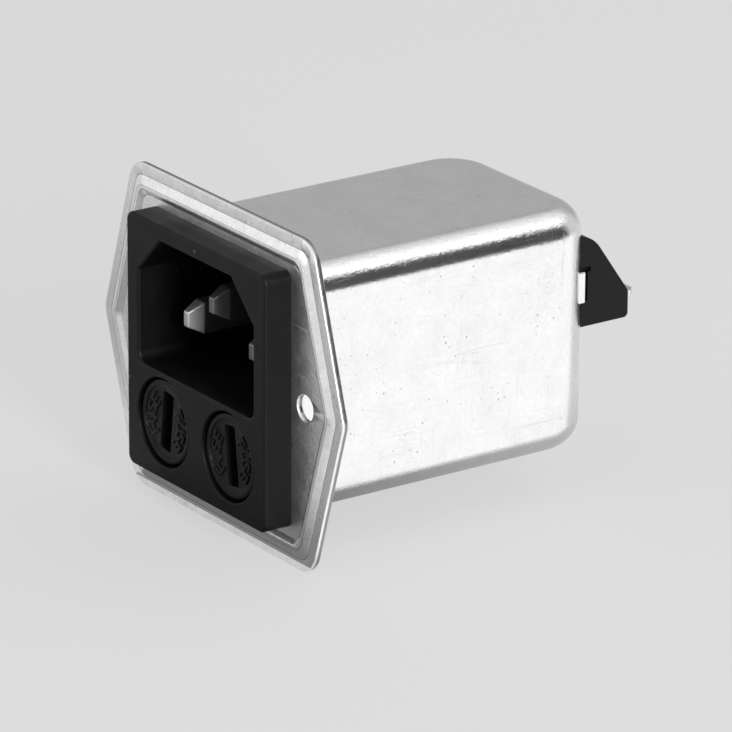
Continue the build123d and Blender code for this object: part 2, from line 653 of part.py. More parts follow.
def make_choke_core():
    """The ferrite ring."""
    ring = Circle(CORE_OUTER_RADIUS) - Circle(CORE_INNER_RADIUS)
    core = extrude(ring, CORE_HEIGHT)
    core = fillet(core.edges(), CORE_EDGE_RADIUS)
    return Pos(0, CHOKE_Y, CORE_BOTTOM) * core


def make_choke_divider():
    """The plate across the core's bore that keeps the windings apart."""
    half_length = CORE_INNER_RADIUS - WINDING_GAP
    half = DIVIDER_THICKNESS / 2
    low = BOARD_TOP + CHOKE_BASE_THICKNESS
    return block(-half, half, CHOKE_Y - half_length, CHOKE_Y + half_length, low, CORE_TOP)


def make_turn():
    """One turn of wire round the core's section, on the +X side, about the choke's axis."""
    step = WINDING_GAP + WINDING_WIRE_RADIUS
    inner = CORE_INNER_RADIUS - step
    outer = lead_radius_on_choke()
    loop = RectangleRounded(outer - inner, CORE_HEIGHT + 2 * step, CORE_EDGE_RADIUS + step)
    centre = ((inner + outer) / 2, 0, (CORE_BOTTOM + CORE_TOP) / 2)
    upright = Plane(origin=centre, x_dir=(1, 0, 0), z_dir=(0, -1, 0))
    path = (upright * loop).face().outer_wire()
    profile = Plane(origin=path @ 0, z_dir=path % 0) * Circle(WINDING_WIRE_RADIUS)
    return sweep(profile, path)


def make_winding(side):
    """One half of the choke's winding: turns side by side, the end ones led down to the board."""
    turn = make_turn()
    angles = choke_angles(side)
    turns = [Pos(0, CHOKE_Y, 0) * Rot(0, 0, angle) * turn for angle in angles]
    middle = (CORE_BOTTOM + CORE_TOP) / 2
    for index, (x, y) in zip((0, -1), choke_lead_spots(side)):
        turns[index] += post(x, y, LEAD_RADIUS, BOARD_BOTTOM - SOLDER_STANDOUT, middle)
    return Compound(children=[t.solid() for t in turns])


def make_x_capacitor():
    """The box capacitor under the board, with its two leads."""
    y = BOARD_REAR - X_CAP_SETBACK
    top = BOARD_BOTTOM - X_CAP_STANDOFF
    half = X_CAP_LENGTH / 2
    body = block(-half, half, y - X_CAP_DEPTH / 2, y + X_CAP_DEPTH / 2, top - X_CAP_HEIGHT, top)
    body = fillet(body.edges(), X_CAP_EDGE_RADIUS)
    for side in SIDES.values():
        body += post(side * X_CAP_PITCH / 2, y, LEAD_RADIUS, top - 1, SOLDER_TOP)
    return body


def make_y_capacitor(side):
    """A disc capacitor on edge, with its two leads."""
    x = side * Y_CAP_SPACING / 2
    y = BOARD_REAR - Y_CAP_SETBACK
    z = BOARD_TOP + Y_CAP_STANDOFF + Y_CAP_RADIUS
    across = Plane(origin=(x - Y_CAP_THICKNESS / 2, y, z), x_dir=(0, 1, 0), z_dir=(1, 0, 0))
    disc = extrude(across * Circle(Y_CAP_RADIUS), Y_CAP_THICKNESS)
    disc = fillet(disc.edges().filter_by(GeomType.CIRCLE), Y_CAP_THICKNESS / 3)
    for end in (-1, 1):
        disc += post(x, y + end * Y_CAP_LEAD_PITCH / 2, LEAD_RADIUS, BOARD_BOTTOM - SOLDER_STANDOUT, z)
    return disc


def make_resistor():
    """The bleed resistor: a body along X with its leads bent down into the board."""
    y = BOARD_REAR - RESISTOR_SETBACK
    z = BOARD_TOP + RESISTOR_STANDOFF + RESISTOR_RADIUS
    along = Plane(origin=(-RESISTOR_LENGTH / 2, y, z), x_dir=(0, 1, 0), z_dir=(1, 0, 0))
    body = extrude(along * Circle(RESISTOR_RADIUS), RESISTOR_LENGTH)
    body = fillet(body.edges().filter_by(GeomType.CIRCLE), RESISTOR_RADIUS / 3)
    half = RESISTOR_LEAD_PITCH / 2
    bottom = BOARD_BOTTOM - SOLDER_STANDOUT
    corners = [(-half, y, bottom), (-half, y, z), (half, y, z), (half, y, bottom)]
    route = FilletPolyline(*corners, radius=2 * LEAD_RADIUS)
    profile = Plane(origin=route @ 0, z_dir=route % 0) * Circle(LEAD_RADIUS)
    return body + sweep(profile, route)


def make_liner():
    """The insulating sleeve between the board and the can."""
    width = CAN_INNER_WIDTH - 2 * LINER_CLEARANCE
    height = CAN_INNER_HEIGHT - 2 * LINER_CLEARANCE
    radius = CAN_EDGE_RADIUS - CAN_WALL - LINER_CLEARANCE
    ring = rounded(width, height, radius)
    ring -= rounded(width - 2 * LINER_THICKNESS, height - 2 * LINER_THICKNESS, radius - LINER_THICKNESS)
    return slab(ring, LINER_START, LINER_START + LINER_LENGTH)


# ---- earth path ----
def make_earth_strap():
    """The strip from the earth pin's tail up and back along the can's top."""
    half = EARTH_STRAP_WIDTH / 2
    top = CAN_INNER_HEIGHT / 2
    x, z, _ = pin_places()["earth"]
    strap = block(-half, half, TUB_END, TUB_END + STRIP_THICKNESS, z - PIN_TAIL_HEIGHT, top)
    strap += block(-half, half, TUB_END, TUB_END + EARTH_STRAP_RUN, top - STRIP_THICKNESS, top)
    return strap - tail_hole(x, z)


def make_earth_bracket():
    """The angle that ties the board's earth to the can's back wall, under the rivet."""
    half = TAB_WIDTH / 2
    wall = CAN_INNER_END - STRIP_THICKNESS
    foot = block(-half, half, BOARD_REAR - BRACKET_LAP, CAN_INNER_END, BOARD_TOP, BOARD_TOP + STRIP_THICKNESS)
    upright = block(-half, half, wall, CAN_INNER_END, BOARD_TOP, RIVET_Z + RIVET_HEAD_RADIUS)
    return foot + upright - rod(0, RIVET_Z, RIVET_RADIUS, wall - 1, CAN_LENGTH)


def make_rivet():
    """The rivet through the bracket, the can's back wall and the earth tab's foot."""
    inner = CAN_INNER_END - STRIP_THICKNESS
    outer = CAN_LENGTH + TAB_THICKNESS
    rivet = rod(0, RIVET_Z, RIVET_RADIUS, inner, outer)
    rivet += rod(0, RIVET_Z, RIVET_HEAD_RADIUS, inner - RIVET_HEAD, inner)
    return rivet + rod(0, RIVET_Z, RIVET_HEAD_RADIUS, outer, outer + RIVET_HEAD)


# ---- rear terminals ----
def make_blade(x, y_front):
    """A flat terminal blade with a chamfered tip and a lock hole."""
    half = TAB_WIDTH / 2
    half_thick = TAB_THICKNESS / 2
    blade = block(x - half, x + half, y_front, TAB_TIP, TAB_RISE - half_thick, TAB_RISE + half_thick)
    tip = blade.faces().sort_by(Axis.Y)[-1].edges().filter_by(Axis.Z)
    blade = chamfer(tip, TAB_TIP_CHAMFER)
    end = blade.faces().sort_by(Axis.Y)[-1].edges().filter_by(Axis.X)
    blade = chamfer(end, TAB_THICKNESS / 4)
    return blade - post(x, TAB_TIP - TAB_HOLE_SETBACK, TAB_HOLE_RADIUS, TAB_RISE - 1, TAB_RISE + 1)


def make_load_tab(x):
    """A line or neutral terminal: blade through the neck and a tail down into the board."""
    half = TAB_WIDTH / 2
    low = TAB_RISE - TAB_THICKNESS / 2
    tail = block(x - half, x + half, TAB_TAIL_Y, TAB_TAIL_Y + TAB_THICKNESS, BOARD_TOP + STRIP_CLEARANCE, low)
    pin = block(x - SOLDER_TAIL_WIDTH / 2, x + SOLDER_TAIL_WIDTH / 2, TAB_TAIL_Y, TAB_TAIL_Y + TAB_THICKNESS,
                BOARD_BOTTOM - SOLDER_STANDOUT, low)
    return make_blade(x, TAB_TAIL_Y) + tail + pin


def make_earth_tab():
    """The earth terminal: blade and a foot riveted to the can's back."""
    half = TAB_WIDTH / 2
    foot = block(-half, half, CAN_LENGTH, CAN_LENGTH + TAB_THICKNESS, TAB_RISE - TAB_THICKNESS / 2,
                 RIVET_Z + RIVET_HEAD_RADIUS)
    return make_blade(0, CAN_LENGTH) + foot - rod(0, RIVET_Z, RIVET_RADIUS, CAN_LENGTH - 1, CAN_LENGTH + 1)


def block_profile():
    """The terminal block's side view: its X is depth along +Y, its Y is height."""
    start = CAN_LENGTH - CAN_CORNER_RADIUS
    rear = CAN_LENGTH + BLOCK_DEPTH
    points = [(start, BLOCK_BOTTOM), (rear, BLOCK_BOTTOM), (rear, BLOCK_BOTTOM + BLOCK_REAR_HEIGHT),
              (CAN_LENGTH, BLOCK_TOP), (start, BLOCK_TOP)]
    face = make_face(Polyline(*points, close=True))
    rear_corners = [v for v in face.vertices() if v.X > rear - 0.01]
    face = fillet(rear_corners, BLOCK_CORNER_RADIUS)
    knee = [v for v in face.vertices() if v.Y > BLOCK_TOP - 0.01 and v.X > CAN_LENGTH - 0.01]
    return fillet(knee, BLOCK_KNEE_RADIUS)


def channel_bounds():
    """The x limits of each terminal's channel, from left to right."""
    inner = BLOCK_WIDTH / 2 - BLOCK_SIDE_WALL
    split = TAB_PITCH / 2
    half = BLOCK_PARTITION / 2
    return [(-inner, -split - half), (-split + half, split - half), (split + half, inner)]


def lance_pocket(side):
    """The pocket in the block's side behind a tongue, with the slot over it."""
    low = LANCE_RISE - LANCE_HEIGHT / 2
    high = low + LANCE_HEIGHT
    inner = side * (BLOCK_WIDTH / 2 - LANCE_POCKET_DEPTH)
    outer = side * (BLOCK_WIDTH / 2 + 1)
    near, far = sorted((inner, outer))
    front = CAN_LENGTH - CAN_CORNER_RADIUS
    back = CAN_LENGTH - LANCE_SETBACK + LANCE_POCKET_REACH
    half_slot = LANCE_SLOT_HEIGHT / 2
    pocket = block(near, far, front, back, low, high)
    return pocket + block(near, far, front, back + LANCE_SLOT_REACH, high - half_slot, high + half_slot)


def make_terminal_block():
    """The black block on the can's back: base, floor, side walls, partitions and two necks."""
    half = BLOCK_WIDTH / 2
    side_plane = Plane(origin=(-half, 0, 0), x_dir=(0, 1, 0), z_dir=(1, 0, 0))
    shape = extrude(side_plane * block_profile(), BLOCK_WIDTH)
    shape -= can_form(BLOCK_FIT, 0)
    for side in SIDES.values():
        shape -= lance_pocket(side)
    base_back = CAN_LENGTH + BLOCK_BASE
    rear = CAN_LENGTH + BLOCK_DEPTH + 1
    for x0, x1 in channel_bounds():
        shape -= block(x0, x1, base_back, rear, BLOCK_BOTTOM + BLOCK_FLOOR, BLOCK_TOP + 1)
    slot = Rectangle(TAB_WIDTH + 2 * BLOCK_FIT, TAB_THICKNESS + 2 * BLOCK_FIT)
    for x in (-TAB_PITCH, TAB_PITCH):
        shape += neck_bar(x, 0, CAN_INNER_END - STRIP_THICKNESS, CAN_LENGTH + BLOCK_FIT)
        shape -= slab(Pos(x, TAB_RISE) * slot, CAN_INNER_END - 1, base_back + 1)
    pocket = TAB_WIDTH / 2 + STRIP_CLEARANCE
    pocket_low = TAB_RISE - TAB_THICKNESS / 2 - STRIP_CLEARANCE
    pocket_high = RIVET_Z + RIVET_HEAD_RADIUS + STRIP_CLEARANCE
    return shape - block(-pocket, pocket, CAN_LENGTH - 1, base_back + 1, pocket_low, pocket_high)


# ---- the whole part ----
def build_nodes():
    """Every node's name and shape."""
    pins = pin_places()
    nodes = {
        "mounting_flange": make_flange(),
        "shield_can": make_can(),
        "inlet_housing": make_housing(),
        "filter_board": make_board(),
        "choke_base": make_choke_base(),
        "choke_core": make_choke_core(),
        "choke_divider": make_choke_divider(),
        "x_capacitor": make_x_capacitor(),
        "bleed_resistor": make_resistor(),
        "insulating_liner": make_liner(),
        "earth_strap": make_earth_strap(),
        "board_earth_bracket": make_earth_bracket(),
        "earth_rivet": make_rivet(),
        "terminal_block": make_terminal_block(),
        "tab_line": make_load_tab(tab_places()["line"]),
        "tab_neutral": make_load_tab(tab_places()["neutral"]),
        "tab_earth": make_earth_tab(),
    }
    for name, (x, z, lead) in pins.items():
        nodes["pin_" + name] = make_pin(x, z, lead)
    for name, side in SIDES.items():
        nodes["choke_winding_" + name] = make_winding(side)
        nodes["y_capacitor_" + name] = make_y_capacitor(side)
        nodes["side_contact_" + name] = make_side_contact(name, side * PIN_SPACING / 2, pins["line"][1])
        nodes["rear_contact_" + name] = make_rear_contact(name)
        nodes["fuse_cap_" + name] = make_cap(name)
        nodes["cap_clip_" + name] = make_clip(name)
        nodes["fuse_glass_" + name] = make_glass(name)
        nodes["fuse_wire_" + name] = make_fuse_wire(name)
        nodes["front_ferrule_" + name] = make_ferrule(name, FUSE_FRONT, FUSE_FRONT + FERRULE_LENGTH)
        nodes["rear_ferrule_" + name] = make_ferrule(name, FUSE_REAR, FUSE_REAR - FERRULE_LENGTH)
    return nodes


def main():
    """Write one STEP file for each node."""
    os.makedirs("parts", exist_ok=True)
    for name, shape in build_nodes().items():
        export_step(shape, f"parts/{name}.step")


if __name__ == "__main__":
    main()
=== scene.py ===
"""Looks of a filtered C14 power inlet with two coin-slot fuse caps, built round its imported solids.

Classes hold their sizes in millimetres, in the part's own frame: +X right from the front, +Y into
the panel, +Z up, with the origin midway between the mounting holes on the flange's rear face. Places
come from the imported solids, joints and mounts. Every finished mesh is in metres, with its object at
the origin.
"""
import json
import logging
import math
from dataclasses import dataclass
from enum import Enum
from typing import Callable, NamedTuple, Sequence

import bmesh
import bpy
from mathutils import Matrix, Vector

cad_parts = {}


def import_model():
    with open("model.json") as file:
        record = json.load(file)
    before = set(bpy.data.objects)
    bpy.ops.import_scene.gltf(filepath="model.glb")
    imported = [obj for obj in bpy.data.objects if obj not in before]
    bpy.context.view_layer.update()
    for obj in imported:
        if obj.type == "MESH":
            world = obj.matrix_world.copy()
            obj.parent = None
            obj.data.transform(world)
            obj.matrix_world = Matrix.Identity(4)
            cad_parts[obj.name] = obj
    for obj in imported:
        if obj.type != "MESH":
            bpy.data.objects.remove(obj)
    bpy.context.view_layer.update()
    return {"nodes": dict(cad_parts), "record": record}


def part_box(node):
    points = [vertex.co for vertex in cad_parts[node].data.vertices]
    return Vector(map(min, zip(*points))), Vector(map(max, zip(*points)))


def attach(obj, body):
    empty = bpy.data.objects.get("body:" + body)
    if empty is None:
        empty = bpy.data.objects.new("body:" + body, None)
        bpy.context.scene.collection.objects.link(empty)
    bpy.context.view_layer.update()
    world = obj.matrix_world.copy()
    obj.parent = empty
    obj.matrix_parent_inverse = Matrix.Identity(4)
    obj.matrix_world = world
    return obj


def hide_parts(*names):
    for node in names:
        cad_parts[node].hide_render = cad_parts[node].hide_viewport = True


LOG = logging.getLogger("power_inlet")
MM = 0.001
# Vertex layer of painted shade along the bead's creases
CREASE = "pressed_line"
WELD = 0.0005  # vertices this close are merged
NEAR = 0.01  # places this close count as one
FLOOR_GAP = 0.05  # how far the floor lies below the flange

Tone = tuple[float, float, float]
Spot = tuple[float, float, float]
Profile = tuple[tuple[float, float], ...]
Socket = bpy.types.NodeSocket
Sockets = dict[str, bpy.types.NodeSocket]
Edges = list[bmesh.types.BMEdge]
Move = Callable[[Vector], Vector]


class Side(Enum):
    """Left and right as seen from the front, with the sign of X."""

    LEFT = -1
    RIGHT = 1

    @property
    def word(self) -> str:
        """The side's name as the nodes spell it."""
        return self.name.lower()


class Body(Enum):
    """The bodies that the pieces ride on."""

    MODULE = "module"
    CAP_LEFT = "cap_left"
    CAP_RIGHT = "cap_right"


# ---------------------------------------------------------------- shader building blocks
class NodeDesk:
    """Adds and joins nodes in one node tree."""

    def __init__(self, tree: bpy.types.NodeTree) -> None:
        """Work on a tree.

        Args:
            tree: The node tree to add to.
        """
        self.tree = tree

    def add(self, kind: str, values: dict[str, object] | None = None, **settings: object) -> bpy.types.Node:
        """Add a node.

        Args:
            kind: The node's class name without the ShaderNode prefix.
            values: Input socket values, by socket name.
            settings: Properties of the node itself.

        Returns:
            The new node.
        """
        node = self.tree.nodes.new("ShaderNode" + kind)
        for key, value in settings.items():
            setattr(node, key, value)
        for key, value in (values or {}).items():
            node.inputs[key].default_value = value
        return node

    def join(self, source: Socket, target: Socket) -> None:
        """Link an output to an input."""
        self.tree.links.new(source, target)

    def feed(self, value: Socket | float | Tone, target: Socket) -> None:
        """Give an input its value.

        Args:
            value: An output to link, a number or a colour.
            target: The input.
        """
        if isinstance(value, bpy.types.NodeSocket):
            self.join(value, target)
        elif isinstance(value, tuple):
            target.default_value = (*value, 1.0)
        else:
            target.default_value = value

    def math(self, operation: str, first: Socket | float, second: Socket | float = 0.5,
             clamp: bool = False) -> Socket:
        """A Math node.

        Args:
            operation: The operation's name.
            first: A socket or a number.
            second: A socket or a number.
            clamp: Whether the result is held between 0 and 1.

        Returns:
            The node's output.
        """
        node = self.add("Math", operation=operation, use_clamp=clamp)
        self.feed(first, node.inputs[0])
        self.feed(second, node.inputs[1])
        return node.outputs[0]

    def spread(self, value: Socket, low: float, high: float, out_low: float = 0.0,
               out_high: float = 1.0) -> Socket:
        """A Map Range node that clamps.

        Args:
            value: The socket to map.
            low: The input value that gives out_low.
            high: The input value that gives out_high.
            out_low: The output at low.
            out_high: The output at high.

        Returns:
            The mapped output.
        """
        ends = {"From Min": low, "From Max": high, "To Min": out_low, "To Max": out_high}
        node = self.add("MapRange", ends)
        self.join(value, node.inputs["Value"])
        return node.outputs["Result"]

    def blend(self, share: Socket, first: Socket | Tone, second: Socket | Tone) -> Socket:
        """Mix two colours.

        Args:
            share: How much of the second colour shows.
            first: A colour socket or a colour.
            second: A colour socket or a colour.

        Returns:
            The mixed colour.
        """
        node = self.add("Mix", data_type="RGBA")
        self.join(share, node.inputs[0])
        self.feed(first, node.inputs[6])
        self.feed(second, node.inputs[7])
        return node.outputs[2]

    def split(self, vector: Socket) -> Sockets:
        """The parts of a vector.

        Args:
            vector: The socket to take apart.

        Returns:
            The outputs X, Y and Z, by name.
        """
        node = self.add("SeparateXYZ")
        self.join(vector, node.inputs[0])
        return dict(node.outputs.items())


def bare_desk(owner: bpy.types.Material | bpy.types.World) -> NodeDesk:
    """Switch a material or a world to nodes and clear them.

    Args:
        owner: The material or world.

    Returns:
        A desk on its empty tree.
    """
    owner.use_nodes = True
    owner.node_tree.nodes.clear()
    return NodeDesk(owner.node_tree)


def new_material(name: str) -> tuple[bpy.types.Material, NodeDesk, bpy.types.Node]:
    """A material with one Principled shader.

    Args:
        name: The material's name.

    Returns:
        The material, a desk on its tree, and the shader node.
    """
    material = bpy.data.materials.new(name)
    desk = bare_desk(material)
    shader = desk.add("BsdfPrincipled")
    desk.join(shader.outputs[0], desk.add("OutputMaterial").inputs["Surface"])
    return material, desk, shader


def noise(desk: NodeDesk, place: Socket, scale: Socket | float, detail: float = 2.0,
          roughness: float = 0.5) -> Socket:
    """A noise texture's value.

    Args:
        desk: The tree to add to.
        place: The coordinates.
        scale: A number or a socket.
        detail: Octaves.
        roughness: Weight of the finer octaves.

    Returns:
        The noise value, about 0.5 in the middle.
    """
    node = desk.add("TexNoise", {"Detail": detail, "Roughness": roughness})
    desk.join(place, node.inputs["Vector"])
    desk.feed(scale, node.inputs["Scale"])
    return node.outputs["Fac"]


def object_place(desk: NodeDesk, stretch: Sequence[float] = (1, 1, 1),
                 turn: Sequence[float] = (0, 0, 0)) -> Socket:
    """Object coordinates, stretched and turned.

    Args:
        desk: The tree to add to.
        stretch: Scale along each axis.
        turn: Rotation in degrees about each axis.

    Returns:
        The coordinates.
    """
    coordinates = desk.add("TexCoord")
    angles = tuple(math.radians(angle) for angle in turn)
    mapping = desk.add("Mapping", {"Scale": tuple(stretch), "Rotation": angles})
    desk.join(coordinates.outputs["Object"], mapping.inputs["Vector"])
    return mapping.outputs["Vector"]


def add_bump(desk: NodeDesk, height: Socket, shader: bpy.types.Node, depth_mm: float) -> None:
    """Feed a height into the shader's normal.

    Args:
        desk: The tree.
        height: The height value.
        shader: The Principled shader.
        depth_mm: The height of a full step.
    """
    bump = desk.add("Bump", {"Strength": 1.0, "Distance": depth_mm * MM})
    desk.join(height, bump.inputs["Height"])
    desk.join(bump.outputs["Normal"], shader.inputs["Normal"])


# ---------------------------------------------------------------- shared surface effects
@dataclass(frozen=True)
class SurfaceEffect:
    """A shader node group that several finishes place with their own values."""

    name: str
    inputs: dict[str, float]
    outputs: tuple[str, ...]
    wire: Callable[[NodeDesk, bpy.types.Node, bpy.types.Node], None]

    def tree(self) -> bpy.types.NodeTree:
        """The node group, which is built once.

        Returns:
            The group.
        """
        if self.name in bpy.data.node_groups:
            return bpy.data.node_groups[self.name]
        tree = bpy.data.node_groups.new(self.name, "ShaderNodeTree")
        for key, value in self.inputs.items():
            socket = tree.interface.new_socket(key, in_out="INPUT", socket_type="NodeSocketFloat")
            socket.default_value = value
        for key in self.outputs:
            tree.interface.new_socket(key, in_out="OUTPUT", socket_type="NodeSocketFloat")
        self.wire(NodeDesk(tree), tree.nodes.new("NodeGroupInput"), tree.nodes.new("NodeGroupOutput"))
        return tree

    def place(self, desk: NodeDesk, **values: float) -> Sockets:
        """Put the group in a material.

        Args:
            desk: The material's desk.
            values: The group's own values here, by input name.

        Returns:
            The placed node's outputs, by name.
        """
        node = desk.add("Group", values, node_tree=self.tree())
        return dict(node.outputs.items())


def wire_scratches(desk: NodeDesk, entry: bpy.types.Node, end: bpy.types.Node) -> None:
    """Hair-fine handling scratches in three directions.

    Args:
        desk: The group's desk.
        entry: The group's input node.
        end: The group's output node.
    """
    hair_width, patch_scale, patch_edge = 0.012, 140.0, (0.5, 0.62)
    ways = (((1, 0.03, 1), (12, 0, 8)), ((0.04, 1, 1), (0, 25, -14)), ((1, 1, 0.05), (31, 9, 40)))
    total = None
    for stretch, turn in ways:
        line = noise(desk, object_place(desk, stretch, turn), entry.outputs["Scale"], detail=1.0)
        ridge = desk.math("ABSOLUTE", desk.math("SUBTRACT", line, 0.5))
        hair = desk.spread(ridge, 0.0, hair_width, 1.0, 0.0)
        patch = desk.spread(noise(desk, object_place(desk, turn=turn), patch_scale, detail=1.0), *patch_edge)
        part = desk.math("MULTIPLY", hair, patch)
        total = part if total is None else desk.math("MAXIMUM", total, part)
    desk.join(desk.math("MULTIPLY", total, entry.outputs["Amount"], clamp=True), end.inputs["Mask"])


def wire_mottle(desk: NodeDesk, entry: bpy.types.Node, end: bpy.types.Node) -> None:
    """Cloudy patches in a plated skin, with a finer cloud inside.

    Args:
        desk: The group's desk.
        entry: The group's input node.
        end: The group's output node.
    """
    fine_ratio, broad_share, edge = 9.0, 0.6, (0.36, 0.64)
    place = object_place(desk)
    broad = noise(desk, place, entry.outputs["Scale"], detail=5.0, roughness=0.62)
    fine_scale = desk.math("MULTIPLY", entry.outputs["Scale"], fine_ratio)
    fine = noise(desk, place, fine_scale, detail=3.0, roughness=0.6)
    broad = desk.math("MULTIPLY", broad, broad_share)
    mixed = desk.math("ADD", broad, desk.math("MULTIPLY", fine, 1 - broad_share))
    desk.join(desk.spread(mixed, *edge), end.inputs["Value"])


def wire_specks(desk: NodeDesk, entry: bpy.types.Node, end: bpy.types.Node) -> None:
    """Scattered pin-point pits and dust grains of uneven size, which gather in patches.

    Args:
        desk: The group's desk.
        entry: The group's input node.
        end: The group's output node.
    """
    least_size, most_size, soft_from = 0.05, 0.26, 0.3
    patch_scale, patch_edge, least_patch = 130.0, (0.42, 0.60), 0.15
    place = object_place(desk)
    cells = desk.add("TexVoronoi", feature="F1")
    desk.join(place, cells.inputs["Vector"])
    desk.join(entry.outputs["Scale"], cells.inputs["Scale"])
    draw = desk.add("SeparateColor")
    desk.join(cells.outputs["Color"], draw.inputs["Color"])
    size = desk.spread(draw.outputs[1], 0.0, 1.0, least_size, most_size)
    dot = desk.spread(desk.math("DIVIDE", cells.outputs["Distance"], size), soft_from, 1.0, 1.0, 0.0)
    chosen = desk.math("LESS_THAN", draw.outputs[0], entry.outputs["Share"])
    patch = desk.spread(noise(desk, place, patch_scale, detail=2.0), *patch_edge, least_patch, 1.0)
    mask = desk.math("MULTIPLY", desk.math("MULTIPLY", dot, chosen), patch, clamp=True)
    desk.join(mask, end.inputs["Mask"])


def wire_grain(desk: NodeDesk, entry: bpy.types.Node, end: bpy.types.Node) -> None:
    """The spark-eroded grain of a moulded face.

    Args:
        desk: The group's desk.
        entry: The group's input node.
        end: The group's output node.
    """
    patch_scale, patch_edge = 260.0, (0.35, 0.65)
    place = object_place(desk)
    height = noise(desk, place, entry.outputs["Scale"], detail=4.0, roughness=0.7)
    desk.join(height, end.inputs["Height"])
    desk.join(desk.spread(noise(desk, place, patch_scale, detail=3.0), *patch_edge), end.inputs["Patch"])


SCRATCHES = SurfaceEffect("handling_scratches", {"Scale": 900.0, "Amount": 1.0}, ("Mask",), wire_scratches)
CLOUDS = SurfaceEffect("cloudy_plating", {"Scale": 160.0}, ("Value",), wire_mottle)
SPECKS = SurfaceEffect("pits_and_dust", {"Scale": 1500.0, "Share": 0.1}, ("Mask",), wire_specks)
GRAIN = SurfaceEffect("moulded_grain", {"Scale": 5000.0}, ("Height", "Patch"), wire_grain)


# ---------------------------------------------------------------- finishes
class Stain(NamedTuple):
    """How much of a mark shows, and its share of the metal's dark tone."""

    cover: float
    tone: float


